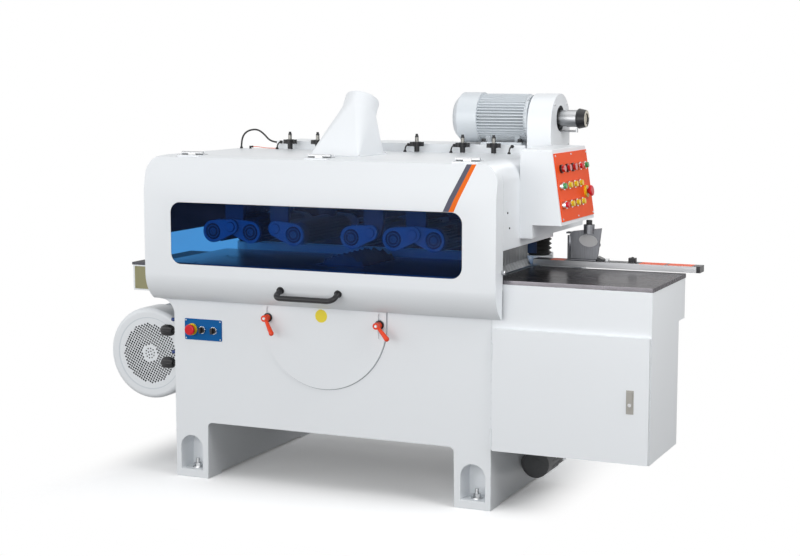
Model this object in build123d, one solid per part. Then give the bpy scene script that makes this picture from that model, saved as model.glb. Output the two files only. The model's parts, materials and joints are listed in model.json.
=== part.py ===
from build123d import *
import os
from math import asin, atan2, cos, degrees, hypot, pi, radians, sin, sqrt

# Multi-rip saw for boards: a base cabinet with the saw arbor, an infeed table on an electrics
# cabinet, and a head with feed rollers that rises on two columns behind the timber path.
# Millimetres. The origin is on the floor at the middle of the four feet. +X is the infeed end,
# +Y the back and +Z up, so timber travels towards -X.

# Base cabinet
base_length = 1280
base_depth = 860
leg_width = 140
leg_height = 216
plate = 8
table_height = 820
bed_thickness = 20
deck_rise = 30
deck_front = 78
deck_back = 235
shelf_reach = 60
shelf_height = 120
shelf_radius = 58
arch_inset = 68
arch_width = 93
arch_sill = 30
arch_top = 161
pocket_depth = 90
foot_lift = 7
anchor_radius = 9
anchor_spacing_x = 1144
anchor_spacing_y = 770

# Saw arbor and its drive
arbor_height = 715
arbor_radius = 30
journal_radius = 35
spacer_radius = 45
blade_radius = 150
blade_thickness = 3.2
blade_bore_gap = 0.05
blade_count = 7
blade_pitch = 45
first_blade = -290
blade_teeth = 24
beam_y = (85, 135)
beam_z = (560, 600)
motor_x = -845
motor_height = 435
motor_radius = 180
motor_front = -285
motor_end = 330
fan_cover_depth = 92
fan_cover_round = 20
dish_radius = 139
dish_depth = 3
hole_pitch = 10
hole_size = 7
hole_turn = -27
hole_reach = (33, 117)
motor_pulley_radius = 100
arbor_pulley_radius = 70
pulley_start = 445
groove_pitch = 13
groove_count = 4
groove_depth = 10
groove_width = 10
belt_gap = 0.6

# Access cover with its two clamp levers, and the start station
cover_x = -8
cover_height = 635
cover_radius = 250
cover_top = 748
cover_lap = 13
access_radius = 205
cover_gap = 0.5
cover_thickness = 6
lever_offset = 225
lever_height = 636
stud_radius = 6
stud_reach = 22
lever_angles = (-56, -42)
station = (-592, -433, 531, 611)
station_plate = 3
stop_x = -559
stop_collar = 7
selector_x = (-515, -466)
selector_collar = 7

# Infeed and outfeed ends
cabinet_right = 1207
cabinet_bottom = 219
cabinet_depth = 362
apron_depth = 443
apron_bottom = 660
table_right = 1210
table_thickness = 14
sheet = 4
door_left = 648
door_right = 1204
door_bottom = 221
door_top = 653
door_depth = 12
door_hinge_x = 642
door_hinge_drop = 7
door_hinge_z = (267, 570)
door_barrel = 5
door_pin = 2.5
latch_x = (1131, 1148)
latch_z = (412, 468)
outfeed_left = -835
outfeed_front = -412
outfeed_back = 20
outfeed_top = 810
outfeed_bottom = 703

# Fence
fence_left = 634
fence_right = 1258
fence_depth = 60
fence_lift = 3
fence_height = 23
fence_knob = (839, 43)
bracket_x = (766, 872)
bracket_y = (38, 48)
bracket_tilt = 15
bracket_height = 120
boss_height = 132
guide_x = 776
guide_height = 870
guide_radius = 12
guide_half = 20
guide_y = (95, 155)
guide_travel = 200
guide_arm_under = 755
guide_arm_top = 812

# Lifting head
head_left = -716
head_right = 681
head_front = -432
head_back = 105
head_bottom = 921
head_top = 1226
head_corner = 75
head_sheet = 6
back_sheet = 8
column_x = 620
column_y = 125
column_radius = 30
column_foot = 770
lift_axis = (704, 112)
lift_radius = 46
boss_radius = 50
boss_floor = 10
column_top = 1200
sleeve_radius = 50
sleeve_bottom = 935
sleeve_top = 1215
running_gap = 0.06

# Hood over the front of the head
hood_back = -434
hood_lip = -439
hood_face = -505
hood_crest = -480
hood_fold = 1099
hood_top_edge = 1219
hood_curl_top = 785
hood_curl_radius = 118
hood_tip = 684
hood_sheet = 3
hood_corner = 73
window = (-602, 557, 825, 1054)
window_corner = 40
pane_thickness = 5
hinge_x = (-545, -20, 550)
hinge_y = -433
hinge_height = 1233
hinge_length = 90
handle_x = (-147, 84)
handle_height = 749
handle_radius = 10
handle_reach = 52

# Feed rollers on swing arms: pivot, side of the roller, and the arm's place on the pivot
arm_table = ((-392, -1, "pin"), (-392, 1, "sleeve"), (-205, 1, "single"),
             (175, -1, "single"), (340, -1, "pin"), (340, 1, "sleeve"))
pivot_height = 963
arm_reach = 74
arm_drop = 19
ring_radius = 41
ring_recess = 31
eye_radius = 28
pin_radius = 12
sleeve_pin_radius = 20
roller_radius = 42
roller_teeth = 20
roller_front = -376
roller_back = -30
sprocket_radius = 34
roller_journal = 14
cheek_thickness = 14
front_cheek = {"pin": -430, "single": -430, "sleeve": -414}
back_cheek = {"pin": 31, "single": 31, "sleeve": 15}
post_width = 76
post_front = (-398, -378)
post_back = (-7, 13)
post_boss = 30
knob_x = (-405, -283, -96, 140, 328, 453)
knob_y = 75
screw_radius = 5
screw_foot = 1036
screw_top = 70
finger_x = 620
finger_height = 968
finger_count = 14
finger_pitch = 30
finger_start = -408
finger_shaft = 8
finger_face = 608
finger_bend = 846

# Dust hood
duct_x = (-120, 80)
duct_y = (-320, -95)
duct_radius = 65
duct_lean = 34
duct_length = 54
duct_end = (-16, -80, 1425)
duct_sheet = 3
duct_flange = 4
duct_corner = 8
duct_flat = 5

# Feed drive on the beam behind the roof
beam_left = -485
beam_right = 565
beam_front = 112
beam_back = 322
beam_height = 32
gusset_x = (-420, -20, 420)
gusset_foot = 1080
drive_y = 218
drive_height = 1357
guard_x = (573, 667)
guard_height = 1338
guard_radius = 112
tail_y = 265
tail_height = 1065
tail_radius = 65
gearbox_x = (440, 552)
gearbox_y = (212, 320)
gearbox_z = (1006, 1124)
feed_motor_left = 258
feed_cowl_right = 361
feed_cowl_radius = 96
feed_fins_right = 548
feed_motor_right = 562
feed_frame_radius = 80
hub_radius = 30
hub_end = 27
speed_radius = 32
speed_length = 40
grip_length = 34
grip_radius = (34, 38, 32)
grip_shaft = 18

# Control box on the right end of the head
box_y = (-269, 112)
box_bottom = 998
box_top = 1263
box_foot_reach = 155
box_top_reach = 116
bar_size = 48
bar_back = 315
panel_margin = 7
panel_foot = 13
panel_size = (367, 240)
panel_thickness = 4
lamp_places = ((50, 184), (113, 184), (176, 184))
button_places = ((238, 184), (300, 184), (24, 124), (87, 124), (150, 124), (213, 124),
                 (24, 58), (87, 58), (150, 58), (213, 58))
stop_place = (303, 89)
button_radius = 10
button_travel = 4
stop_travel = 5

half_length = base_length / 2
half_depth = base_depth / 2
front = -half_depth
back = half_depth
inner_x = half_length - plate
inner_y = half_depth - plate
foot_inside = inner_y - pocket_depth
base_top = table_height - bed_thickness
deck_top = base_top + deck_rise + bed_thickness
shelf_left = -half_length - shelf_reach
shelf_under = base_top - shelf_height
foot_gap = half_length - leg_width
blades_y = [first_blade + blade_pitch * i for i in range(blade_count)]
lever_x = (cover_x - lever_offset, cover_x + lever_offset)
pulley_end = pulley_start + groove_pitch * groove_count - 2
roller_height = pivot_height - arm_drop


def box(x0, x1, y0, y1, z0, z1):
    return Pos((x0 + x1) / 2, (y0 + y1) / 2, (z0 + z1) / 2) * Box(x1 - x0, y1 - y0, z1 - z0)


def rod_x(y, z, x0, x1, radius):
    return Pos((x0 + x1) / 2, y, z) * Rot(0, 90, 0) * Cylinder(radius, x1 - x0)


def rod_y(x, z, y0, y1, radius):
    return Pos(x, (y0 + y1) / 2, z) * Rot(90, 0, 0) * Cylinder(radius, y1 - y0)


def rod_z(x, y, z0, z1, radius):
    return Pos(x, y, (z0 + z1) / 2) * Cylinder(radius, z1 - z0)


def prism_x(face, x0, x1):
    # The face is drawn in Y and Z
    return extrude(Plane.YZ.offset(x0) * face, x1 - x0)


def prism_y(face, y0, y1):
    # The face is drawn in X and Z
    return extrude(Plane.XZ.offset(-y1) * face, y1 - y0)


def rect(x0, x1, z0, z1):
    return Pos((x0 + x1) / 2, (z0 + z1) / 2) * Rectangle(x1 - x0, z1 - z0)


def round_rect(x0, x1, z0, z1, radius):
    return Pos((x0 + x1) / 2, (z0 + z1) / 2) * RectangleRounded(x1 - x0, z1 - z0, radius)


def disc(x, z, radius):
    return Pos(x, z) * Circle(radius)


def polygon(*points):
    return make_face(Polyline(*points, close=True))


def corner(sketch, x, z):
    return sketch.vertices().sort_by_distance((x, z, 0))[0]


def round_top(x0, x1, z0, z1, radius):
    face = rect(x0, x1, z0, z1)
    return fillet([corner(face, x0, z1), corner(face, x1, z1)], radius)


def hull(*circles):
    # The outline of a belt pulled round the circles, each given as x, z and radius
    edges = [edge for x, z, r in circles for edge in disc(x, z, r).edges()]
    return make_hull(edges)


def group(solids):
    return Compound(children=list(solids))


def base_outline():
    body = rect(-half_length, half_length, 0, base_top)
    body -= rect(-foot_gap, foot_gap, 0, leg_height)
    body += rect(shelf_left, -half_length, shelf_under, base_top)
    body = fillet([corner(body, side * foot_gap, leg_height) for side in (-1, 1)], plate * 2)
    return fillet([corner(body, -half_length, shelf_under)], shelf_radius)


def arch(x):
    radius = arch_width / 2
    spring = arch_top - radius
    return rect(x - radius, x + radius, arch_sill, spring) + disc(x, spring, radius)


def u_shape(radius, top):
    sides = rect(cover_x - radius, cover_x + radius, cover_height - radius, top)
    return (disc(cover_x, cover_height, radius) & sides) + rect(cover_x - radius, cover_x + radius, cover_height, top)


def base_walls():
    # Front and back plates with arched openings in their feet, then the two end plates
    outline = base_outline()
    for side in (-1, 1):
        outline -= arch(side * (half_length - arch_inset))
    access = u_shape(access_radius, cover_top - cover_lap)
    walls = [prism_y(outline - access, front, front + plate)]
    walls.append(prism_y(outline - disc(0, arbor_height, spacer_radius), inner_y, back))
    end_face = rect(-inner_y, inner_y, 0, base_top) + rect(deck_front, deck_back, 0, deck_top)
    end_face -= rect(-foot_inside, foot_inside, 0, foot_lift)
    for side in (-1, 1):
        wall = prism_x(end_face, *sorted((side * inner_x, side * half_length)))
        walls.append(wall - column_boss(side))
    return walls


def column_boss(side):
    return rod_z(side * column_x, column_y, column_foot - boss_floor, deck_top, boss_radius)


def rear_deck():
    # Raised deck behind the timber path, with the two column bosses
    deck = box(-inner_x, inner_x, deck_front, deck_back, deck_top - plate, deck_top)
    for y in (deck_front, deck_back - plate):
        deck += box(-inner_x, inner_x, y, y + plate, base_top - bed_thickness, deck_top)
    for side in (-1, 1):
        deck += column_boss(side)
        deck -= rod_z(side * column_x, column_y, column_foot, deck_top + 1, column_radius)
    return deck


def corner_foot(side, end):
    # Thick foot with an arched pocket for the floor bolt
    across = sorted((side * foot_gap, side * inner_x))
    body = box(*across, *sorted((end * inner_y, end * foot_inside)), 0, leg_height)
    pocket = arch(side * (half_length - arch_inset))
    body -= prism_y(pocket, *sorted((end * half_depth, end * (foot_inside + plate))))
    return body - rod_z(side * anchor_spacing_x / 2, end * anchor_spacing_y / 2, -1, arch_sill + 1, anchor_radius)


def end_shelf():
    # Hollow ledge at the outfeed end
    body = box(shelf_left, -half_length, -inner_y, inner_y, shelf_under, base_top)
    body -= box(shelf_left + plate, 1 - half_length, -half_depth, half_depth, shelf_under + plate, base_top - plate)
    return body - column_boss(-1)


def fence_guide():
    # Arm on the right end plate and the block that the fence's rod slides in
    y0, y1 = guide_y
    body = box(half_length, guide_x + guide_half, y0, y1, guide_arm_under, guide_arm_top)
    body += box(guide_x - guide_half, guide_x + guide_half, y0, y1, guide_arm_top - 1, guide_height + 23)
    body -= column_boss(1)
    return body - rod_y(guide_x, guide_height, y0 - 1, y1 + 1, guide_radius + running_gap)


def base_frame():
    # Welded from plates, each its own solid
    plates = base_walls()
    plates.append(box(-inner_x, inner_x, -inner_y, inner_y, leg_height, leg_height + plate))
    for side in (-1, 1):
        wall = sorted((side * foot_gap, side * (foot_gap + plate)))
        plates.append(box(*wall, -foot_inside, foot_inside, foot_lift, leg_height))
        plates += [corner_foot(side, end) for end in (-1, 1)]
    plates += [end_shelf(), rear_deck(), fence_guide()]
    plates.append(box(-inner_x, inner_x, deck_back, inner_y, base_top - plate, base_top))
    # Cross beam under the arbor's front pedestal, and the studs of the clamp levers
    plates.append(box(-inner_x, inner_x, *beam_y, *beam_z))
    plates += [rod_y(x, lever_height, front - stud_reach, front, stud_radius) for x in lever_x]
    return group(plates)


def bed_plates():
    half_slot = sqrt(blade_radius ** 2 - (base_top - arbor_height) ** 2) + 8
    bed = box(shelf_left, half_length, front + 2, deck_front - 4, base_top, table_height)
    for y in blades_y:
        bed -= box(-half_slot, half_slot, y - 5, y + 5, base_top - 1, table_height + 1)
    return bed


def infeed_cabinet():
    left = half_length
    back_low = front + cabinet_depth
    back_high = front + apron_depth
    top = table_height - table_thickness
    body = box(left, cabinet_right, front, back_low, cabinet_bottom, apron_bottom)
    body += box(left, cabinet_right, front, back_high, apron_bottom, top)
    body -= box(left + sheet, cabinet_right - sheet, front + sheet, back_low - sheet,
                cabinet_bottom + sheet, top - sheet)
    body -= box(left + sheet, cabinet_right - sheet, front + sheet, back_high - sheet,
                apron_bottom + sheet, top - sheet)
    mouth = round_rect(left + 16, cabinet_right - 16, cabinet_bottom + 12, door_top - 10, 10)
    body -= prism_y(mouth, front - 1, front + sheet + 1)
    # Fixed hinge barrels with their pins
    axis = (door_hinge_x, front - door_hinge_drop)
    for z in door_hinge_z:
        for end in (-1, 1):
            low, high = sorted((z + end * 15.3, z + end * 30))
            body += rod_z(*axis, low, high, door_barrel)
            body += box(left, left + 7, axis[1], front + 1, low, high)
        body += rod_z(*axis, z - 16, z + 16, door_pin)
    return body


def infeed_table():
    low = table_height - table_thickness
    slab = box(half_length, table_right, front, front + apron_depth, low, table_height)
    edges = slab.edges().filter_by(Axis.Z).sort_by(Axis.X)[-2:]
    return fillet(edges, 6)


def outfeed_table():
    apron = box(outfeed_left + sheet, shelf_left, outfeed_front + 2, outfeed_back - sheet,
                outfeed_bottom, outfeed_top - 10)
    apron -= box(outfeed_left + 2 * sheet, shelf_left - sheet, outfeed_front + 2 + sheet,
                 outfeed_back - 2 * sheet, outfeed_bottom - 1, outfeed_top - 9)
    return apron + box(outfeed_left, shelf_left, outfeed_front, outfeed_back, outfeed_top - 10, outfeed_top)


def arbor_bearings():
    # One long quill: a bearing seat at each end, a flange on the back wall and a front pedestal
    axis = (0, arbor_height)
    inner_back = back - plate
    quill = rod_y(*axis, 60, inner_back, 62)
    quill += rod_y(*axis, inner_back - 14, inner_back, 76)
    quill += box(-58, 58, 88, 132, 600, arbor_height)
    quill += box(-90, 90, 86, 134, 600, 616)
    quill -= rod_y(*axis, 59, inner_back + 1, journal_radius + running_gap)
    return quill - rod_y(*axis, 110, inner_back - 50, journal_radius + 8)


def pulley_profile(axis, radius):
    wheel = rod_y(*axis, pulley_start, pulley_end, radius)
    for i in range(groove_count):
        y = pulley_start + 1.5 + groove_pitch * i
        wheel -= rod_y(*axis, y, y + groove_width, radius + 1) - rod_y(*axis, y, y + groove_width,
                                                                      radius - groove_depth)
    return wheel


def saw_arbor():
    axis = (0, arbor_height)
    shaft = rod_y(*axis, first_blade - 60, pulley_end + 3, arbor_radius)
    shaft += rod_y(*axis, 62, back - plate - 2, journal_radius)
    half = blade_thickness / 2 + 0.1
    walls = [first_blade - 22] + blades_y + [blades_y[-1] + 45]
    for before, after in zip(walls[:-1], walls[1:]):
        shaft += rod_y(*axis, before + half, after - half, spacer_radius)
    nut = prism_y(Pos(*axis) * RegularPolygon(52, 6), first_blade - 50, first_blade - 21)
    return shaft + nut + pulley_profile(axis, arbor_pulley_radius)


def saw_blade(y):
    # Hooked teeth: a steep face, a point and a long back down to the next gullet
    points = []
    for i in range(blade_teeth):
        for turn, radius in ((0.0, blade_radius), (0.12, blade_radius - 9), (0.3, blade_radius - 11)):
            angle = 2 * pi * (i + turn) / blade_teeth
            points.append((radius * cos(angle), arbor_height + radius * sin(angle)))
    outline = polygon(*points) - disc(0, arbor_height, arbor_radius + blade_bore_gap)
    half = blade_thickness / 2
    return prism_y(outline, y - half, y + half)


def main_motor():
    axis = (motor_x, motor_height)
    frame_radius = motor_radius - 24
    frame = disc(*axis, frame_radius)
    for i in range(36):
        frame += Pos(*axis) * Rot(0, 0, i * 10) * Pos(frame_radius + 5, 0) * Rectangle(24, 4)
    body = prism_y(frame, motor_front + 95, motor_end - 45)
    body += rod_y(*axis, motor_end - 60, motor_end - 14, motor_radius - 6)
    body += rod_y(*axis, motor_end - 15, motor_end, motor_radius - 60)
    body += rod_y(*axis, motor_front + 30, motor_front + 96, frame_radius - 12)
    body += rod_y(*axis, motor_front + 92, motor_front + 110, motor_radius)
    for y in (-120, 160):
        body += box(motor_x + 120, -half_length, y - 45, y + 45, motor_height - 130, motor_height + 130)
    return body - rod_y(*axis, motor_end - 120, motor_end + 1, 24 + running_gap)


def fan_cover_ring():
    # Turned edge, a flat rim and a step down to the dished middle, in the plane of radius and depth
    sheet_metal = 3
    outer = motor_radius
    turn = fan_cover_round
    centre = outer - turn
    near = sin(radians(45))
    dish = dish_radius
    wall = Polyline((outer, fan_cover_depth), (outer, turn))
    wall += ThreePointArc((outer, turn), (centre + turn * near, turn - turn * near), (centre, 0))
    wall += Polyline((centre, 0), (dish + 4, 0), (dish, dish_depth), (dish, dish_depth + sheet_metal),
                     (dish + 4, sheet_metal), (centre, sheet_metal))
    inner = turn - sheet_metal
    wall += ThreePointArc((centre, sheet_metal), (centre + inner * near, turn - inner * near),
                          (outer - sheet_metal, turn))
    wall += Polyline((outer - sheet_metal, turn), (outer - sheet_metal, fan_cover_depth), (outer, fan_cover_depth))
    return revolve(Plane.XZ * make_face(wall), Axis.Z)


def motor_fan_cover():
    # Punched grille: square holes on a turned grid, and two rings of round ones in the hub
    grille = Circle(dish_radius + 0.01)
    rows = int(hole_reach[1] / hole_pitch)
    holes = []
    for i in range(-rows, rows + 1):
        for j in range(-rows, rows + 1):
            if hole_reach[0] < hole_pitch * hypot(i, j) < hole_reach[1]:
                holes.append(Pos(hole_pitch * i, hole_pitch * j) * Rectangle(hole_size, hole_size))
    for count, radius in ((10, 19), (4, 8)):
        for i in range(count):
            holes.append(Rot(0, 0, 360 * i / count) * Pos(radius, 0) * Circle(3))
    grille -= holes
    cover = fan_cover_ring() + Pos(0, 0, dish_depth) * extrude(grille, 3)
    return Pos(motor_x, motor_front, motor_height) * Rot(-90, 0, 0) * Rot(0, 0, -hole_turn) * cover


def motor_pulley():
    axis = (motor_x, motor_height)
    return pulley_profile(axis, motor_pulley_radius) + rod_y(*axis, motor_end - 110, pulley_end + 3, 24)


def drive_belts():
    belts = []
    for i in range(groove_count):
        y = pulley_start + 1.5 + groove_pitch * i
        loops = []
        for rise in (8, 0.0):
            loops.append(hull((motor_x, motor_height, motor_pulley_radius - groove_depth + belt_gap + rise),
                              (0, arbor_height, arbor_pulley_radius - groove_depth + belt_gap + rise)))
        belts.append(prism_y(loops[0] - loops[1], y + belt_gap, y + groove_width - belt_gap))
    return group(belts)


def belt_guard():
    depth = 76
    wall = 5

    def cover(inset):
        return hull((motor_x, motor_height, motor_pulley_radius + 32 - inset),
                    (0, arbor_height, arbor_pulley_radius + 32 - inset))

    body = prism_y(cover(0), back, back + depth)
    body -= prism_y(cover(wall), back + wall, back + depth - wall)
    open_side = rect(-half_length + 6, half_length, 0, deck_top)
    body -= prism_y(cover(wall) & open_side, back - 1, back + wall + 1)
    return body - rod_y(motor_x, motor_height, back - 1, back + wall + 1, 60)


def arbor_cover():
    low = front - cover_gap - cover_thickness
    body = prism_y(u_shape(cover_radius, cover_top), low, front - cover_gap)
    for x in lever_x:
        slot = round_rect(x - 7, x + 7, lever_height - 52, lever_height + 40, 6.9)
        body -= prism_y(slot, low - 1, front)
    return body


def clamp_lever(x, angle):
    seat = front - cover_gap - cover_thickness - 0.7
    body = rod_y(x, lever_height, seat - 5, seat, 17)
    body += rod_y(x, lever_height, seat - 34, seat - 4, 12)
    lean = Vector(cos(radians(angle)), -0.28, sin(radians(angle))).normalized()
    foot = Vector(x, seat - 24, lever_height)
    grip = Plane(origin=foot, z_dir=lean)
    body += grip * Pos(0, 0, 36) * Cone(6, 9, 60)
    body += grip * Pos(0, 0, 64) * Sphere(9.4)
    return body - rod_y(x, lever_height, front - 24, seat + 1, stud_radius + running_gap)


def switch_plate():
    x0, x1, z0, z1 = station
    mid = (z0 + z1) / 2
    face = front - station_plate
    body = prism_y(round_rect(x0, x1, z0, z1, 5), face, front)
    body += rod_y(stop_x, mid, face - stop_collar, face + 1, 22)
    body -= rod_y(stop_x, mid, face - stop_collar - 1, face, 8)
    for x in selector_x:
        body += rod_y(x, mid, face - selector_collar, face + 1, 14)
        body -= rod_y(x, mid, face - selector_collar - 1, face, 6)
    return body


def mushroom(head_radius):
    # Stop button along +Z: stem below 0, head above
    body = Pos(0, 0, -2) * Cylinder(7.9, 8) + Pos(0, 0, 3.5) * Cylinder(13, 7)
    cap = Pos(0, 0, 10) * Cylinder(head_radius, 8)
    return body + fillet(cap.edges().group_by(Axis.Z)[-1], 5)


def station_stop():
    mid = (station[2] + station[3]) / 2
    face = front - station_plate - stop_collar
    return Pos(stop_x, face - stop_travel - 0.5, mid) * Rot(90, 0, 0) * mushroom(20)


def selector(x):
    mid = (station[2] + station[3]) / 2
    face = front - station_plate - selector_collar
    knob = rod_y(x, mid, face - 6, face - 0.3, 12)
    knob += box(x - 4, x + 4, face - 17, face - 5, mid - 11.5, mid + 11.5)
    return knob + rod_y(x, mid, face - 1, face + 6, 5.9)


def lift_columns():
    radius = column_radius - running_gap / 2
    return group(rod_z(side * column_x, column_y, column_foot, column_top, radius) for side in (-1, 1))


def column_bellows():
    folds = 5
    height = sleeve_bottom - deck_top - 1
    outer, inner, skin = 47, 37, 2
    step = height / folds
    crests = [(outer if i % 2 else inner, deck_top + step * i / 2) for i in range(2 * folds + 1)]
    wall = crests + [(radius - skin, z) for radius, z in reversed(crests)]
    ring = revolve(Plane.XZ * polygon(*wall), Axis.Z)
    return group(Pos(side * column_x, column_y, 0) * ring for side in (-1, 1))


def lift_motor():
    axis = lift_axis
    body = rod_y(*axis, -140, -95, lift_radius + 7)
    body += rod_y(*axis, -96, 60, lift_radius)
    for i in range(12):
        fin = Pos(*axis) * Rot(0, 0, i * 30) * Pos(lift_radius + 2, 0) * Rectangle(8, 4)
        body += prism_y(fin, -96, 50)
    body += box(half_length, axis[0] - 32, -60, 40, axis[1] - 36, axis[1] + 36)
    body -= rod_y(*axis, -141, -137, lift_radius + 1)
    return body + rod_y(*axis, -139, -136, 18)


def cabinet_door():
    low = front - 1 - door_depth
    pan = prism_y(round_rect(door_left, door_right, door_bottom, door_top, 5), low, front - 1)
    inner = round_rect(door_left + 7, door_right - 7, door_bottom + 7, door_top - 7, 4)
    pan -= prism_y(inner, low + 3, front)
    x0, x1 = latch_x
    z0, z1 = latch_z
    pan += box(x0 - 4.5, x1 + 4.5, low - 2, low + 1, z0 - 19, z1 + 6)
    axis = (door_hinge_x, front - door_hinge_drop)
    for z in door_hinge_z:
        pan += rod_z(*axis, z - 15, z + 15, door_barrel)
        pan += box(door_hinge_x, door_left + 2, axis[1] - 2, axis[1] + 2, z - 15, z + 15)
        pan -= rod_z(*axis, z - 16, z + 16, door_pin + running_gap)
    return pan


def door_latch():
    face = front - 1 - door_depth - 2
    flap = box(*latch_x, face - 2.6, face - 0.4, *latch_z) + rod_x(face - 1.5, latch_z[1], *latch_x, 1.1)
    return flap + rod_y(sum(latch_x) / 2, latch_z[0] + 12, face - 4, face - 2, 6)


def fence_y():
    return front + apron_depth + 0.5


def fence_bar():
    y0 = fence_y()
    low = table_height + fence_lift
    bar = box(fence_left, fence_right, y0, y0 + fence_depth, low, low + fence_height)
    bar -= box(fence_left - 1, fence_right + 1, y0 + 12, y0 + 20, low + fence_height - 5, low + fence_height + 1)
    bar -= box(fence_left - 1, fence_right + 1, y0 + 40, y0 + 48, low + fence_height - 5, low + fence_height + 1)
    return bar - box(fence_left - 1, fence_right + 1, y0 + 14, y0 + 46, low - 1, low + 12)


def fence_bracket():
    # Leaning plate with a bent edge, a foot on the bar, a clamp boss and the guide rod
    low = table_height + fence_lift + fence_height
    x0, x1 = bracket_x
    top = low + bracket_height
    wing = polygon((x0, low), (x1, low), (x1 + bracket_tilt, top), (x0 + 12, top - 14), (x0, top - 28))
    body = prism_y(wing, *bracket_y)
    body += rod_z(x0 - 1, bracket_y[1] - 7, low, top - 30, 7)
    body += box(x0 - 14, x0 + 50, bracket_y[0] + 2, bracket_y[1] + 18, top - 24, top - 18)
    body += box(x0, x1, 20, 68, low, low + 6)
    body += rod_z(*fence_knob, top - 22, low + boss_height, 20)
    body += rod_y(guide_x, guide_height, bracket_y[0] + 2, guide_y[1] + guide_travel + 5, guide_radius)
    return body + rod_y(guide_x, guide_height, bracket_y[1] - 1, bracket_y[1] + 14, guide_radius + 8)


def fence_clamp():
    low = table_height + fence_lift + fence_height + boss_height + 0.4
    knob = Pos(*fence_knob, low + 8) * Cylinder(11, 16)
    for i in range(6):
        knob -= Pos(*fence_knob, low + 12) * Rot(0, 0, 60 * i) * Pos(12.5, 0, 0) * Cylinder(3, 30)
    return knob


def head_hollow():
    return round_top(head_left + head_sheet, head_right - head_sheet, head_bottom - 50, head_top - head_sheet,
                     head_corner - head_sheet)


def head_shell():
    # Bent sheet over a back plate, with a sleeve for each column
    body = prism_y(round_top(head_left, head_right, head_bottom, head_top, head_corner), head_front, head_back)
    body -= prism_y(head_hollow(), head_front - 1, head_back - back_sheet)
    body += box(-beam_right, beam_right, head_back - back_sheet, head_back, deck_top + 1, head_bottom + 1)
    for side in (-1, 1):
        body -= rod_z(side * column_x, column_y, head_bottom - 1, sleeve_bottom, sleeve_radius)
        body += rod_z(side * column_x, column_y, sleeve_bottom, sleeve_top, sleeve_radius)
        body -= rod_z(side * column_x, column_y, sleeve_bottom - 1, sleeve_top + 1, column_radius + running_gap / 2)
    body -= box(duct_x[0] + 12, duct_x[1] - 12, duct_y[0] + 12, duct_y[1] - 12, head_top - 10, head_top + 1)
    for x in knob_x:
        body -= rod_z(x, knob_y, head_top - 10, head_top + 1, screw_radius + 0.3)
    return body


def drive_beam():
    # Channel behind the roof on three gussets
    beam_top = head_top + beam_height
    body = box(beam_left, beam_right, head_back, beam_front + 5, head_top - head_sheet, head_top)
    body += box(beam_left, beam_right, beam_front, beam_back, head_top - head_sheet, beam_top)
    body -= box(beam_left + 6, beam_right - 6, beam_front + 6, beam_back - 6, head_top - 7, beam_top - 6)
    for x in gusset_x:
        web = polygon((head_back, gusset_foot), (head_back, head_top), (beam_back - 3, head_top))
        body += prism_x(web, x - 4, x + 4)
        body += box(x - 4, x + 4, beam_front, beam_back - 3, head_top - 2, beam_top - 3)
    return body


def hinge_leaf(x):
    # Fixed leaf with two barrels and the pin
    half = hinge_length / 2
    body = box(x - half, x + half, head_front + 6, head_front + 34, head_top, head_top + 3)
    for end in (-1, 1):
        low, high = sorted((x + end * 15.4, x + end * half))
        body += rod_x(hinge_y, hinge_height, low, high, 6)
        body += box(low, high, hinge_y, head_front + 7, head_top, hinge_height)
    return body + rod_x(hinge_y, hinge_height, x - 16, x + 16, 3)


def head_housing():
    return group([head_shell(), drive_beam()] + [hinge_leaf(x) for x in hinge_x])


def hood_profile(inset):
    # Side view: roof lip, leaning upper face, upright face and the curl under its lower edge
    turn = asin((hood_curl_top - hood_tip) / hood_curl_radius)
    radius = hood_curl_radius - inset
    centre = (hood_face + hood_curl_radius, hood_curl_top)

    def curl(angle):
        return (centre[0] - radius * cos(angle), centre[1] - radius * sin(angle))

    tip = curl(turn)
    lean = inset * (hood_crest - hood_face) / (hood_top_edge - hood_fold)
    reach = hood_back + (1 if inset else 0)
    lip = hood_lip + (1 if inset else 0)
    path = Polyline(tip, (lip, tip[1]), (lip, hood_curl_top), (reach, hood_curl_top), (reach, head_top - inset),
                    (hood_crest + inset, hood_top_edge - inset), (hood_face + inset, hood_fold - lean),
                    (hood_face + inset, hood_curl_top))
    return make_face(path + ThreePointArc((hood_face + inset, hood_curl_top), curl(turn / 2), tip))


def hood_block(inset):
    outline = round_top(head_left + inset, head_right - inset, hood_tip - 10, head_top - inset,
                        hood_corner - inset)
    block = prism_x(hood_profile(inset), head_left + inset, head_right - inset)
    return block & prism_y(outline, hood_face - 10, hood_back + 10)


def hood_shell():
    x0, x1, z0, z1 = window
    body = hood_block(0) - hood_block(hood_sheet)
    body -= prism_y(round_rect(x0, x1, z0, z1, window_corner), hood_face - 1, hood_face + hood_sheet + 1)
    for x in hinge_x:
        body += box(x - hinge_length / 2, x + hinge_length / 2, hood_back - 36, hood_back - 6, head_top - 6,
                    head_top + 0.5)
        body += rod_x(hinge_y, hinge_height, x - 15, x + 15, 6)
        body += box(x - 15, x + 15, hinge_y - 8, hinge_y - 1, head_top - 2, hinge_height)
        body -= rod_x(hinge_y, hinge_height, x - 16, x + 16, 3 + running_gap)
    return body


def hood_window():
    x0, x1, z0, z1 = window
    lap = 18
    face = hood_face + hood_sheet
    outline = round_rect(x0 - lap, x1 + lap, z0 - lap, z1 + lap, window_corner + lap)
    return prism_y(outline, face, face + pane_thickness)


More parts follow.
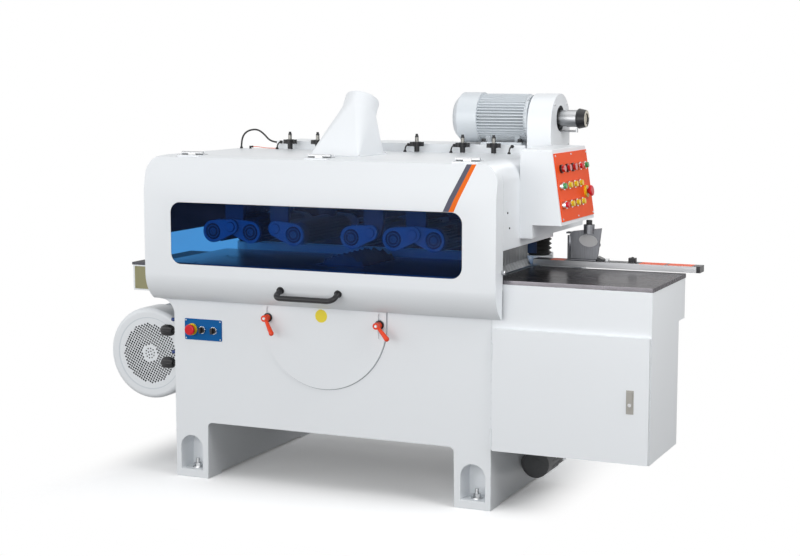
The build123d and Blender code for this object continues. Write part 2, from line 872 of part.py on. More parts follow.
def hood_handle():
    # Bent tube with two feet square to the curled lower part of the hood
    fall = asin((hood_curl_top - handle_height) / hood_curl_radius)
    foot_y = hood_face + hood_curl_radius * (1 - cos(fall))
    out = (-cos(fall) * handle_reach, -sin(fall) * handle_reach - 6)
    left, right = handle_x
    points = [(left, foot_y, handle_height), (left, foot_y + out[0], handle_height + out[1]),
              (right, foot_y + out[0], handle_height + out[1]), (right, foot_y, handle_height)]
    path = FilletPolyline(*points, radius=24)
    start = Plane(origin=path @ 0, z_dir=path % 0)
    tube = sweep(start * Circle(handle_radius), path=path)
    for x in handle_x:
        seat = Plane(origin=(x, foot_y, handle_height), z_dir=(0, out[0], out[1]))
        tube += seat * Pos(0, 0, 3) * Cylinder(handle_radius + 4, 6)
    return tube - hood_block(0)


def arm_places(index):
    pivot, side, kind = arm_table[index]
    return pivot, pivot + side * arm_reach, kind


def swing_arm(index):
    pivot, roller_x, kind = arm_places(index)
    outline = hull((roller_x, roller_height, ring_radius), (pivot, pivot_height, eye_radius))
    low = front_cheek[kind]
    high = back_cheek[kind]
    body = prism_y(outline, low, low + cheek_thickness)
    body += prism_y(outline, high, high + cheek_thickness)
    radius = pin_radius if kind == "pin" else sleeve_pin_radius
    body += rod_y(pivot, pivot_height, low, high + cheek_thickness, radius)
    body += rod_y(knob_x[index], pivot_height - 3, high + 2, knob_y + 10, 8)
    if kind != "sleeve":
        body += rod_y(pivot, pivot_height, low - 1.5, low + 1, 15)
    else:
        body -= rod_y(pivot, pivot_height, low - 4, high + cheek_thickness + 1, pin_radius + running_gap)
    body -= rod_y(roller_x, roller_height, low - 1, low + 5, ring_recess)
    return body - rod_y(roller_x, roller_height, low - 1, high + cheek_thickness + 1,
                        roller_journal + running_gap)


def feed_roller(index):
    pivot, x, kind = arm_places(index)
    points = []
    for i in range(roller_teeth):
        for turn, radius in ((0.0, roller_radius), (0.35, roller_radius), (0.5, roller_radius - 4),
                             (0.85, roller_radius - 4)):
            angle = 2 * pi * (i + turn) / roller_teeth
            points.append((x + radius * cos(angle), roller_height + radius * sin(angle)))
    body = prism_y(polygon(*points), roller_front, roller_back)
    body += rod_y(x, roller_height, roller_back + 6, roller_back + 14, sprocket_radius)
    return body + rod_y(x, roller_height, front_cheek[kind] + 5.5, back_cheek[kind] + cheek_thickness - 1,
                        roller_journal)


def roller_hangers():
    roof = head_top - head_sheet
    posts = []
    shoulder = pivot_height + 37
    for pivot in sorted({place[0] for place in arm_table}):
        face = rect(pivot - post_width / 2, pivot + post_width / 2, shoulder, roof)
        face += polygon((pivot - post_width / 2, shoulder), (pivot - post_boss, pivot_height),
                        (pivot + post_boss, pivot_height), (pivot + post_width / 2, shoulder))
        face += disc(pivot, pivot_height, post_boss)
        face -= disc(pivot, pivot_height, sleeve_pin_radius + running_gap)
        posts += [prism_y(face, *post_front), prism_y(face, *post_back)]
    lug = rect(finger_x - 16, finger_x + 16, finger_height, roof) + disc(finger_x, finger_height, 16)
    lug -= disc(finger_x, finger_height, finger_shaft + running_gap)
    lug = lug & head_hollow()
    end = finger_start + finger_pitch * finger_count
    posts += [prism_y(lug, finger_start - 16, finger_start - 5), prism_y(lug, end + 5, end + 16)]
    return group(posts)


def kickback_fingers():
    foot = table_height + 3
    near = finger_face
    far = near + 6
    blade = polygon((near, finger_height), (near, finger_bend), (near + 14, foot), (far + 14, foot),
                    (far, finger_bend + 2), (far, finger_height))
    blade += disc(finger_x, finger_height, 14)
    end = finger_start + finger_pitch * finger_count
    body = rod_y(finger_x, finger_height, finger_start - 15, end + 15, finger_shaft)
    for i in range(finger_count):
        y = finger_start + finger_pitch * i
        body += prism_y(blade, y + 1, y + finger_pitch - 1)
    return body


def pressure_screws():
    roof = head_top - head_sheet
    screws = []
    for x in knob_x:
        screw = rod_z(x, knob_y, screw_foot, head_top + screw_top, screw_radius)
        screw += rod_z(x, knob_y, screw_foot, screw_foot + 10, 9) + rod_z(x, knob_y, screw_foot + 64, roof, 14)
        screws.append(screw)
    return group(screws)


def star_knobs():
    knobs = []
    for x in knob_x:
        base = Pos(x, knob_y, head_top)
        knob = base * Pos(0, 0, 13) * Cylinder(10, 22) + base * Pos(0, 0, 31) * Cylinder(15, 18)
        for turn in (20, 110):
            knob += base * Pos(0, 0, 31) * Rot(0, 0, turn) * extrude(SlotOverall(54, 15), 8, both=True)
        knob += base * Pos(0, 0, 51) * Cylinder(7, 24)
        knobs.append(knob - base * Pos(0, 0, 30) * Cylinder(screw_radius + running_gap, 80))
    return group(knobs)


def duct_plane(back_off):
    lean = Vector(0, sin(radians(duct_lean)), cos(radians(duct_lean)))
    return Plane(origin=Vector(*duct_end) - lean * back_off, x_dir=(1, 0, 0), z_dir=lean)


def duct_ring(radius):
    # A circle in eight arcs: short ones face the sides of the duct's foot, long ones its corners
    def at(angle):
        return (radius * cos(radians(angle)), radius * sin(radians(angle)))

    arcs = []
    for side in (0, 90, 180, 270):
        for start, end in ((side - duct_flat, side + duct_flat), (side + duct_flat, side + 90 - duct_flat)):
            arcs.append(ThreePointArc(at(start), at((start + end) / 2), at(end)))
    return make_face(arcs)


def dust_hood():
    # Flat sides that turn into a leaning pipe
    mid_x = (duct_x[0] + duct_x[1]) / 2
    mid_y = (duct_y[0] + duct_y[1]) / 2
    width = duct_x[1] - duct_x[0]
    depth = duct_y[1] - duct_y[0]

    def funnel(inset):
        foot = Plane((mid_x, mid_y, head_top + (0 if inset else duct_flange - 1)))
        low = foot * RectangleRounded(width - 2 * inset, depth - 2 * inset, duct_corner - inset)
        high = duct_plane(duct_length) * duct_ring(duct_radius - inset)
        return loft([low.face(), high.face()], ruled=True)

    pipe = duct_plane(duct_length) * Pos(0, 0, duct_length / 2)
    body = Pos(mid_x, mid_y, head_top + duct_flange / 2) * Box(width + 18, depth + 18, duct_flange)
    body += funnel(0)
    body += pipe * Cylinder(duct_radius, duct_length)
    body -= funnel(duct_sheet)
    return body - pipe * Cylinder(duct_radius - duct_sheet, duct_length + 2)


def feed_motor():
    axis = (drive_y, drive_height)
    foot = head_top + beam_height
    radius = feed_frame_radius
    cowl = rod_x(*axis, feed_motor_left, feed_cowl_right, feed_cowl_radius)
    body = chamfer(cowl.edges().sort_by(Axis.X)[0], 24, 24)
    body += rod_x(*axis, feed_cowl_right - 1, feed_fins_right, radius)
    for i in range(48):
        rib = Pos(*axis) * Rot(0, 0, 7.5 * i) * Pos(radius + 4, 0) * Rectangle(14, 3.5)
        body += prism_x(rib, feed_cowl_right - 1, feed_fins_right)
    body += rod_x(*axis, feed_fins_right - 1, feed_motor_right, radius + 7)
    body += rod_x(*axis, feed_motor_right - 1, guard_x[0], 60)
    leg = polygon((drive_y - 78, foot), (drive_y + 78, foot), (drive_y + 52, drive_height - 50),
                  (drive_y - 52, drive_height - 50))
    first, last = feed_cowl_right + 38, feed_fins_right - 30
    for x in (first, last):
        body += prism_x(leg, x - 9, x + 9)
    body += box(first - 22, last + 22, drive_y - 80, drive_y + 80, foot, foot + 9)
    return body - rod_x(*axis, feed_motor_right - 60, guard_x[0] + 1, 14 + running_gap)


def guard_face(inset):
    # Arched top, and a narrower tail behind the right-hand column sleeve
    step = head_top + 14
    face = disc(drive_y, guard_height, guard_radius - inset)
    face += rect(drive_y - guard_radius + inset, drive_y + guard_radius - inset, step + inset, guard_height)
    face += rect(tail_y - tail_radius + inset, tail_y + tail_radius - inset, tail_height, step + inset + 1)
    return face + disc(tail_y, tail_height, tail_radius - inset)


def variator_guard():
    x0, x1 = guard_x
    body = prism_x(guard_face(0), x0, x1) - prism_x(guard_face(3), x0 + 3, x1 - 3)
    body -= rod_x(drive_y, drive_height, x0 - 1, x0 + 4, 40)
    return body - rod_x(drive_y, drive_height, x1 - 4, x1 + 1, hub_radius + 18)


def variator_sheave():
    axis = (drive_y, drive_height)
    body = rod_x(*axis, feed_motor_right - 40, guard_x[1] + 8, 14)
    for x, lean in ((guard_x[0] + 22, 0), (guard_x[0] + 56, 180)):
        body += Pos(x, *axis) * Rot(0, 90 + lean, 0) * Cone(72, 40, 20)
    return body + rod_x(*axis, guard_x[1] - 18, guard_x[1] + hub_end, hub_radius)


def speed_sleeve():
    axis = (drive_y, drive_height)
    start = guard_x[1] + hub_end + 0.5
    end = start + speed_length
    body = rod_x(*axis, start, end, speed_radius)
    body += box(end - 6, end, drive_y - 6, drive_y + 6, drive_height - 52, drive_height)
    body += rod_x(drive_y, drive_height - 47, guard_x[1], end, 4)
    return body - rod_x(*axis, start + speed_length / 2, end + 1, 8 + running_gap)


def speed_handwheel():
    # Fluted grip: a short lead-in, then a taper to a dished end
    axis = (drive_y, drive_height)
    start = guard_x[1] + hub_end + speed_length + 1
    small, large, end = grip_radius
    lead = 6
    turned = polygon((0, 0), (small, 0), (large, lead), (end, grip_length), (0, grip_length))
    grip = revolve(Plane.XZ * turned, Axis.Z)
    for i in range(18):
        flute = Rot(0, 0, 20 * i) * Pos(large + 1, 0, lead + 14) * Rot(0, -12, 0) * Cylinder(3.2, grip_length + 20)
        grip -= flute
    grip = Pos(start, *axis) * Rot(0, 90, 0) * grip
    grip -= rod_x(*axis, start + grip_length - 5, start + grip_length + 1, 20)
    return grip + rod_x(*axis, start - grip_shaft, start + 1, 8)


def feed_gearbox():
    x0, x1 = gearbox_x
    y0, y1 = gearbox_y
    z0, z1 = gearbox_z
    body = box(x0, x1, y0, y1, z0, z1)
    body = fillet(body.edges().filter_by(Axis.X), 16)
    for x in (x0 + 18, x0 + 56, x0 + 94):
        body += box(x - 4, x + 4, y0 - 4, y1 + 4, z0 + 10, z1 - 10)
    body += box(x0 + 10, x1 - 10, head_back, y0 + 2, z0 + 34, z1 - 34)
    body += box(x0 - 10, x1 + 10, head_back, head_back + 12, z0 + 9, z1 - 9)
    return body + rod_x(tail_y, tail_height, x1 - 1, guard_x[0], 34)


def box_plane():
    # On the sloping face: first axis towards the back, second up the slope, third outwards
    foot = head_right + box_foot_reach
    rise = Vector(box_top_reach - box_foot_reach, 0, box_top - box_bottom).normalized()
    out = Vector(rise.Z, 0, -rise.X)
    start = Vector(foot, box_y[0] + panel_margin, box_bottom) + rise * panel_foot
    return Plane(origin=start, x_dir=(0, 1, 0), z_dir=out)


def box_face(inset):
    left = head_right + inset
    return polygon((left, box_bottom + inset), (head_right + box_foot_reach - inset, box_bottom + inset),
                   (head_right + box_top_reach - inset, box_top - inset), (left, box_top - inset))


def control_box():
    y0, y1 = box_y
    body = prism_y(box_face(0), y0, y1) - prism_y(box_face(sheet), y0 + sheet, y1 - sheet)
    width, height = panel_size
    mouth = Pos(width / 2, height / 2, 0) * Box(width - 30, height - 30, 20)
    body -= box_plane() * mouth
    bar = box(head_right, head_right + bar_size, y0, bar_back, box_bottom - bar_size, box_bottom)
    bar -= box(head_right + sheet, head_right + bar_size - sheet, y0 + sheet, bar_back + 1,
               box_bottom - bar_size + sheet, box_bottom - sheet)
    return body + bar


def control_panel():
    width, height = panel_size
    top = panel_thickness
    body = Pos(width / 2, height / 2, top / 2) * Box(width, height, top)
    for u, v in lamp_places:
        body += Pos(u, v, top + 4) * Cylinder(15, 8) + Pos(u, v, top + 12) * Cylinder(12, 12)
    for u, v in button_places:
        body += Pos(u, v, top + 7) * Cylinder(14, 14)
        body -= Pos(u, v, top + 8) * Cylinder(button_radius + 0.5, 16)
        body -= Pos(u, v, top) * Cylinder(5, 12)
    u, v = stop_place
    body += Pos(u, v, top + stop_collar / 2) * Cylinder(22, stop_collar)
    body -= Pos(u, v, top + 4) * Cylinder(8, 20)
    return box_plane() * body


def push_buttons():
    top = panel_thickness
    caps = []
    for u, v in button_places:
        cap = Pos(u, v, top + 14) * Cylinder(button_radius, 18)
        cap += Pos(u, v, top - 4) * Cylinder(4.6, 20)
        caps.append(box_plane() * cap)
    return group(caps)


def panel_stop():
    u, v = stop_place
    return box_plane() * Pos(u, v, panel_thickness + stop_collar + stop_travel + 0.6) * mushroom(20)


def hose(points, radius, share):
    # Straight runs joined by tangent arcs, each taking up to a share of its shorter run
    runs = [(Vector(*b) - Vector(*a)) for a, b in zip(points[:-1], points[1:])]
    radii = []
    for first, second in zip(runs[:-1], runs[1:]):
        half_turn = radians(first.get_angle(second)) / 2
        radii.append(share * min(first.length, second.length) / (sin(half_turn) / cos(half_turn)))
    path = FilletPolyline(*points, radius=radii)
    tube = sweep(Plane(origin=path @ 0, z_dir=path % 0) * Circle(radius), path=path)
    print("hose length %.0f, least radius %.0f" % (path.length, min(radii)))
    return tube


def oil_hoses():
    # One long oil line into the end of the beam, and short ones from the roof into its front
    roof = head_top
    long_run = [(-629, 82, roof), (-629, 82, roof + 36), (-612, 90, roof + 68), (-574, 104, roof + 78),
                (-548, 116, roof + 62), (-520, 128, roof + 25), (beam_left, 128, roof + 25)]
    hoses = [hose(long_run, 3.5, 0.45)]
    for x in (-464, 90, 280, 514):
        hoses.append(hose([(x, 76, roof), (x, 76, roof + 27), (x, beam_front, roof + 27)], 2.75, 0.95))
    return group(hoses)


nodes = {
    "base_frame": base_frame(),
    "bed_plates": bed_plates(),
    "infeed_cabinet": infeed_cabinet(),
    "infeed_table": infeed_table(),
    "outfeed_table": outfeed_table(),
    "arbor_bearings": arbor_bearings(),
    "saw_arbor": saw_arbor(),
    "saw_blades": group(saw_blade(y) for y in blades_y),
    "main_motor": main_motor(),
    "motor_fan_cover": motor_fan_cover(),
    "motor_pulley": motor_pulley(),
    "drive_belts": drive_belts(),
    "belt_guard": belt_guard(),
    "arbor_cover": arbor_cover(),
    "clamp_lever_left": clamp_lever(lever_x[0], lever_angles[0]),
    "clamp_lever_right": clamp_lever(lever_x[1], lever_angles[1]),
    "switch_plate": switch_plate(),
    "station_stop": station_stop(),
    "selector_left": selector(selector_x[0]),
    "selector_right": selector(selector_x[1]),
    "lift_columns": lift_columns(),
    "column_bellows": column_bellows(),
    "lift_motor": lift_motor(),
    "cabinet_door": cabinet_door(),
    "door_latch": door_latch(),
    "fence_bar": fence_bar(),
    "fence_bracket": fence_bracket(),
    "fence_clamp": fence_clamp(),
    "head_housing": head_housing(),
    "hood_shell": hood_shell(),
    "hood_window": hood_window(),
    "hood_handle": hood_handle(),
    "roller_hangers": roller_hangers(),
    "kickback_fingers": kickback_fingers(),
    "pressure_screws": pressure_screws(),
    "star_knobs": star_knobs(),
    "dust_hood": dust_hood(),
    "feed_motor": feed_motor(),
    "variator_guard": variator_guard(),
    "variator_sheave": variator_sheave(),
    "speed_sleeve": speed_sleeve(),
    "speed_handwheel": speed_handwheel(),
    "feed_gearbox": feed_gearbox(),
    "control_box": control_box(),
    "control_panel": control_panel(),
    "push_buttons": push_buttons(),
    "panel_stop": panel_stop(),
    "oil_hoses": oil_hoses(),
}
for index in range(len(arm_table)):
    nodes["swing_arm_%d" % (index + 1)] = swing_arm(index)
    nodes["feed_roller_%d" % (index + 1)] = feed_roller(index)

os.makedirs("parts", exist_ok=True)
for name, shape in nodes.items():
    export_step(shape, "parts/%s.step" % name)
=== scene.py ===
import json
from math import atan2, cos, hypot, pi, radians
import bmesh
import bpy
from mathutils import Matrix, Vector
from mathutils.bvhtree import BVHTree
from mathutils.kdtree import KDTree


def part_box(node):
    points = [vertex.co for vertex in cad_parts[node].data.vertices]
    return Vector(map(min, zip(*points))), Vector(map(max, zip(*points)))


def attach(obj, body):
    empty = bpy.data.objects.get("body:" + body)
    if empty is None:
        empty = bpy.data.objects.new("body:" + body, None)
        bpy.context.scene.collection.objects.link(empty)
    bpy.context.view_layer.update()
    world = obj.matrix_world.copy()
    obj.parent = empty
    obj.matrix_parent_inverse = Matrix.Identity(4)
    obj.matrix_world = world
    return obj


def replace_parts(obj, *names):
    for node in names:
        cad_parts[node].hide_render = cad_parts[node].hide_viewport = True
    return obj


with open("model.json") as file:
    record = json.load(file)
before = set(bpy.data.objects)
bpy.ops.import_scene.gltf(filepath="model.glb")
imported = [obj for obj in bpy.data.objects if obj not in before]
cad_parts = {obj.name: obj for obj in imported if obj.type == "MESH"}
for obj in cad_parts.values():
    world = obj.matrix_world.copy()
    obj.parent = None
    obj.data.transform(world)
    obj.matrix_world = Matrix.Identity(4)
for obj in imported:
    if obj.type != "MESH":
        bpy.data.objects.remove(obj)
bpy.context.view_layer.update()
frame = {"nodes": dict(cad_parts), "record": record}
nodes = frame["nodes"]
bodyOf = {node: body for body, held in frame["record"]["behaviour"]["bodies"].items() for node in held}
print("frame loaded,", len(nodes), "nodes")

# the photo's camera, in front of the part, to its right and a little above it
shot = {"place": (2.5923, -5.6288, 1.53376), "down": 7.274, "turn": 23.857, "lens": 73.0}
cameraData = bpy.data.cameras.new("shot")
cameraData.lens = shot["lens"]
cameraData.sensor_width = 36
cameraData.clip_end = 200
camera = bpy.data.objects.new("shot", cameraData)
camera.location = shot["place"]
camera.rotation_euler = (radians(90 - shot["down"]), 0, radians(shot["turn"]))
bpy.context.scene.collection.objects.link(camera)
bpy.context.scene.camera = camera
bpy.context.scene.view_settings.view_transform = "Standard"


# shader sums are written as plain expressions on sockets
class Wire:
    def __init__(self, finish, socket):
        self.finish = finish
        self.socket = socket

    def maths(self, operation, first, second):
        return self.finish.node("ShaderNodeMath", {"operation": operation}, {0: first, 1: second})

    def __add__(self, other):
        return self.maths("ADD", self, other)

    def __radd__(self, other):
        return self.maths("ADD", other, self)

    def __sub__(self, other):
        return self.maths("SUBTRACT", self, other)

    def __rsub__(self, other):
        return self.maths("SUBTRACT", other, self)

    def __mul__(self, other):
        return self.maths("MULTIPLY", self, other)

    def __rmul__(self, other):
        return self.maths("MULTIPLY", other, self)


class Finish:
    def __init__(self, name, owner=None):
        self.material = owner or bpy.data.materials.new(name)
        self.material.use_nodes = True
        self.tree = self.material.node_tree
        self.tree.nodes.clear()
        self.place = self.node("ShaderNodeTexCoord", {}, {}, "Object")

    def node(self, kind, settings, sockets, output=0):
        made = self.tree.nodes.new(kind)
        for key, value in settings.items():
            setattr(made, key, value)
        for key, value in sockets.items():
            if isinstance(value, Wire):
                self.tree.links.new(value.socket, made.inputs[key])
            elif made.inputs[key].type == "RGBA":
                made.inputs[key].default_value = (*value[:3], 1)
            else:
                made.inputs[key].default_value = value
        return Wire(self, made.outputs[output]) if made.outputs else None

    def noise(self, scale, detail=3, rough=0.5, stretch=(1, 1, 1)):
        where = self.node("ShaderNodeMapping", {}, {"Vector": self.place, "Scale": stretch})
        return self.node("ShaderNodeTexNoise", {}, {"Vector": where, "Scale": scale, "Detail": detail,
                                                   "Roughness": rough}, "Fac")

    def span(self, value, low, high):
        return self.node("ShaderNodeMapRange", {"interpolation_type": "SMOOTHSTEP"},
                         {"Value": value, "From Min": low, "From Max": high}, "Result")

    def tint(self, factor, first, second):
        return self.node("ShaderNodeMix", {"data_type": "RGBA"}, {0: factor, 6: first, 7: second}, 2)

    def bump(self, height, strength, depth):
        return self.node("ShaderNodeBump", {}, {"Strength": strength, "Distance": depth, "Height": height}, "Normal")

    def wear(self):
        return self.node("ShaderNodeAttribute", {"attribute_name": "wear"}, {}, "Fac")

    def close(self, sockets):
        shader = self.node("ShaderNodeBsdfPrincipled", {}, sockets, "BSDF")
        self.node("ShaderNodeOutputMaterial", {}, {"Surface": shader})
        return self.material


def shade(colour, amount):
    return tuple(amount * part for part in colour)


# powder coat: faint clouds, orange peel, a little handling dirt and rubbed edges
def powderCoat(name, colour, gloss, peel=0.006, dirt=0.008, shine=0.5):
    f = Finish(name)
    cloud = f.noise(1.3, 2, 0.4)
    smear = f.noise(55, 4, 0.6)
    rubbed = f.span(f.wear() * f.noise(85, 6, 0.75), 0.46, 0.72)
    tone = f.tint(f.span(cloud, 0.3, 0.7), shade(colour, 0.985), colour)
    tone = f.tint(f.span(smear, 0.52, 0.80) * dirt, tone, shade(colour, 0.7))
    tone = f.tint(rubbed * 0.30, tone, shade(colour, 0.55))
    rough = (cloud - 0.5) * 0.06 + (smear - 0.5) * dirt + rubbed * 0.12 + gloss
    return f.close({"Base Color": tone, "Roughness": rough, "Specular IOR Level": shine,
                    "Normal": f.bump(f.noise(260, 1, 0.3), peel, 0.0004)})


# machined steel: grinding lines along one axis, clouded by use
def groundMetal(name, colour, rough, stretch, lines=0.25, stain=0.35, rim=1.0):
    f = Finish(name)
    grind = f.noise(1, 6, 0.7, stretch)
    cloud = f.noise(6, 6, 0.65)
    edge = f.span(f.wear() * f.noise(60, 4, 0.6), 0.25, 0.6)
    tone = f.tint(f.span(grind, 0.25, 0.75), shade(colour, 0.78), shade(colour, 1.12))
    tone = f.tint(f.span(cloud, 0.48, 0.75) * stain, tone, shade(colour, 0.55))
    tone = f.tint(edge * 0.5, tone, shade(colour, 1.5))
    gloss = (grind - 0.5) * lines + (cloud - 0.5) * 0.2 + rough
    return f.close({"Base Color": tone, "Roughness": gloss, "Metallic": 1.0, "Specular Tint": (rim, rim, rim),
                    "Normal": f.bump(grind, 0.06, 0.0004)})


# sand casting: pits under a dull coat
def castMetal(name, colour, rough, metallic):
    f = Finish(name)
    pits = f.noise(240, 5, 0.65)
    cloud = f.noise(9, 5, 0.6)
    tone = f.tint(f.span(cloud, 0.35, 0.7), shade(colour, 0.80), colour)
    tone = f.tint(f.span(pits, 0.58, 0.75) * 0.4, tone, shade(colour, 0.5))
    return f.close({"Base Color": tone, "Roughness": (pits - 0.5) * 0.2 + rough, "Metallic": metallic,
                    "Normal": f.bump(pits, 0.22, 0.0006)})


# moulded plastic: fine spark grain and a few paler scuffs
def mouldedPlastic(name, colour, rough, grain=0.10, scuff=0.2, coat=0.0, shine=0.5):
    f = Finish(name)
    sparks = f.noise(900, 2, 0.5)
    cloud = f.noise(30, 5, 0.65)
    pale = tuple(0.85 * part + 0.06 for part in colour)
    tone = f.tint(f.span(cloud, 0.55, 0.8) * scuff, colour, pale)
    tone = f.tint(f.span(f.wear() * cloud, 0.35, 0.6) * 0.3, tone, pale)
    return f.close({"Base Color": tone, "Roughness": (cloud - 0.5) * 0.2 + rough, "Coat Weight": coat,
                    "Coat Roughness": 0.05, "Specular IOR Level": shine, "Normal": f.bump(sparks, grain, 0.0003)})


# blue acrylic pane: tinted all through, with a wiped surface
def tintedPane(name):
    f = Finish(name)
    wiped = f.noise(5, 6, 0.7, (1, 1, 3))
    facing = f.node("ShaderNodeLayerWeight", {}, {"Blend": 0.12}, "Fresnel")
    clear = f.node("ShaderNodeBsdfTransparent", {}, {"Color": (0.26, 0.55, 0.83)}, "BSDF")
    skin = f.node("ShaderNodeBsdfPrincipled", {}, {
        "Base Color": f.tint(f.span(wiped, 0.4, 0.7), (0.05, 0.07, 0.16), (0.07, 0.09, 0.21)),
        "Roughness": (wiped - 0.5) * 0.06 + 0.06}, "BSDF")
    both = f.node("ShaderNodeMixShader", {}, {0: facing * 0.4 + f.span(wiped, 0.45, 0.8) * 0.04 + 0.05,
                                              1: clear, 2: skin})
    f.node("ShaderNodeOutputMaterial", {}, {"Surface": both})
    return f.material


# black rubber with a dusty bloom
def dullRubber(name, colour):
    f = Finish(name)
    bloom = f.noise(40, 6, 0.7)
    tone = f.tint(f.span(bloom, 0.45, 0.75) * 0.5, colour, (0.06, 0.06, 0.062))
    return f.close({"Base Color": tone, "Roughness": (bloom - 0.5) * 0.2 + 0.62,
                    "Normal": f.bump(f.noise(500, 3, 0.6), 0.12, 0.0004)})


looks = {
    "white": powderCoat("whitePaint", (0.795, 0.820, 0.845), 0.36),
    # near-black for the inward faces of the head: painted shade inside the housing
    "inside": powderCoat("headInsideShade", (0.030, 0.031, 0.034), 0.5, 0.1, 0.3),
    "motor": powderCoat("motorPaint", (0.66, 0.70, 0.735), 0.34, 0.08, 0.05),
    "armPaint": powderCoat("armPaint", (0.42, 0.48, 0.53), 0.42, 0.05, 0.08, 0.3),
    # dark grey hangers: painted shade, as they stand back inside the head
    "hangerShade": powderCoat("hangerShade", (0.13, 0.14, 0.15), 0.45, 0.05, 0.2, 0.3),
    "stripeGrey": powderCoat("stripeGrey", (0.105, 0.105, 0.142), 0.45, 0.01, 0.03, 0.12),
    "stripeOrange": powderCoat("stripeOrange", (0.88, 0.16, 0.010), 0.45, 0.01, 0.03, 0.12),
    "motorShade": powderCoat("motorShade", (0.33, 0.36, 0.385), 0.40, 0.05, 0.1),
    "orange": powderCoat("panelOrange", (0.90, 0.095, 0.016), 0.42, 0.01, 0.03, 0.06),
    "plateBlue": powderCoat("plateBlue", (0.003, 0.105, 0.33), 0.42, 0.02, 0.05, 0.12),
    "navy": powderCoat("navyCurtain", (0.016, 0.024, 0.06), 0.5, 0.1, 0.3),
    "seal": powderCoat("paleSeal", (0.42, 0.43, 0.44), 0.6, 0.1, 0.2),
    "yellowDisc": powderCoat("yellowDisc", (0.80, 0.64, 0.02), 0.38, 0.03, 0.08),
    "beige": powderCoat("olivePlate", (0.29, 0.275, 0.15), 0.45, 0.02, 0.05, 0.3),
    "latchGrey": powderCoat("latchGrey", (0.37, 0.355, 0.325), 0.38, 0.03, 0.1),
    "barePlate": powderCoat("barePlate", (0.46, 0.46, 0.465), 0.4, 0.04, 0.15),
    "tableSteel": groundMetal("tableSteel", (0.17, 0.162, 0.175), 0.26, (9, 620, 40), rim=0.5),
    "outfeedSteel": groundMetal("outfeedSteel", (0.075, 0.075, 0.085), 0.30, (9, 620, 40), rim=0.4),
    "bedSteel": groundMetal("bedSteel", (0.35, 0.375, 0.395), 0.34, (9, 620, 40)),
    "toolSteel": groundMetal("toolSteel", (0.40, 0.41, 0.42), 0.34, (160, 160, 160), 0.2, 0.3),
    "fingerSteel": groundMetal("fingerSteel", (0.23, 0.24, 0.25), 0.42, (220, 220, 12), 0.2, 0.4),
    "rollerSteel": groundMetal("rollerSteel", (0.42, 0.43, 0.44), 0.30, (400, 10, 400), 0.2, 0.3),
    # near-black blade steel: painted shade of the dark head interior
    "bladeSteelShaded": groundMetal("bladeSteelShaded", (0.07, 0.072, 0.075), 0.42, (60, 200, 60), 0.2, 0.2),
    "bracketSteel": groundMetal("bracketSteel", (0.20, 0.205, 0.22), 0.40, (300, 300, 14), 0.2, 0.3, 0.5),
    "bossSteel": groundMetal("bossSteel", (0.24, 0.235, 0.22), 0.36, (60, 60, 900), 0.25, 0.3, 0.5),
    "hingeSteel": groundMetal("hingeSteel", (0.56, 0.57, 0.58), 0.36, (12, 400, 400), 0.2, 0.2, 0.9),
    "zinc": groundMetal("zincScrews", (0.55, 0.56, 0.57), 0.30, (150, 150, 150), 0.15, 0.3),
    "chrome": groundMetal("chromeTrim", (0.68, 0.69, 0.70), 0.14, (40, 40, 40), 0.05, 0.12),
    "aluminium": groundMetal("fenceAluminium", (0.40, 0.405, 0.415), 0.36, (8, 500, 500), 0.2, 0.12, 0.8),
    "cast": castMetal("castGrey", (0.23, 0.24, 0.25), 0.55, 0.35),
    # near-black: dark washers, and painted shade in the bearing caps
    "bearingDarkAndShade": castMetal("bearingDarkAndShade", (0.035, 0.037, 0.042), 0.5, 0.1),
    "darkCast": castMetal("darkCast", (0.045, 0.047, 0.05), 0.5, 0.2),
    "black": mouldedPlastic("blackPlastic", (0.012, 0.012, 0.014), 0.36, 0.08, 0.1, 0.0, 0.35),
    "glossBlack": mouldedPlastic("glossBlack", (0.012, 0.012, 0.013), 0.20, 0.04, 0.1),
    "red": mouldedPlastic("stopRed", (0.62, 0.008, 0.018), 0.30, 0.03, 0.05, 0.0, 0.3),
    "lampRed": mouldedPlastic("lampRed", (0.50, 0.010, 0.008), 0.12, 0.03, 0.05, 0.6),
    "green": mouldedPlastic("buttonGreen", (0.02, 0.26, 0.06), 0.28, 0.05, 0.1, 0.2),
    "yellow": mouldedPlastic("buttonYellow", (0.78, 0.56, 0.015), 0.30, 0.03, 0.05, 0.0, 0.4),
    "leverOrange": mouldedPlastic("leverOrange", (0.78, 0.052, 0.008), 0.34, 0.05, 0.1, 0.0, 0.35),
    "blue": mouldedPlastic("fittingBlue", (0.005, 0.03, 0.16), 0.35, 0.06, 0.15),
    "ivory": mouldedPlastic("ivoryInsert", (0.62, 0.58, 0.48), 0.36, 0.06, 0.2),
    "redStrip": mouldedPlastic("redStrip", (0.84, 0.10, 0.02), 0.45, 0.03, 0.1, 0.0, 0.08),
    "rubber": dullRubber("blackRubber", (0.012, 0.012, 0.012)),
    "pane": tintedPane("bluePane"),
}
print("finishes:", len(looks))


# copies of CAD nodes: welded, edges rounded, painted by place
# lengths in metres, angles in degrees, shortest and reaches in edge radii
rounding = {"weld": 0.000005, "flat": 0.5, "steep": 28, "seam": 0.0006, "shortest": 2.2, "fold": 2e-8,
            "reaches": (1.5, 2.5, 4, 6, 9, 14)}


def tidyFaces(bm):
    bmesh.ops.remove_doubles(bm, verts=bm.verts, dist=rounding["weld"])
    bmesh.ops.dissolve_limit(bm, angle_limit=radians(rounding["flat"]), verts=bm.verts, edges=bm.edges)


def joinShape(bm, shape):
    held = bpy.data.meshes.new("held")
    shape.to_mesh(held)
    shape.free()
    bm.from_mesh(held)
    bpy.data.meshes.remove(held)


def mergedCopy(node):
    bm = bmesh.new()
    bm.from_mesh(nodes[node].data)
    tidyFaces(bm)
    return bm


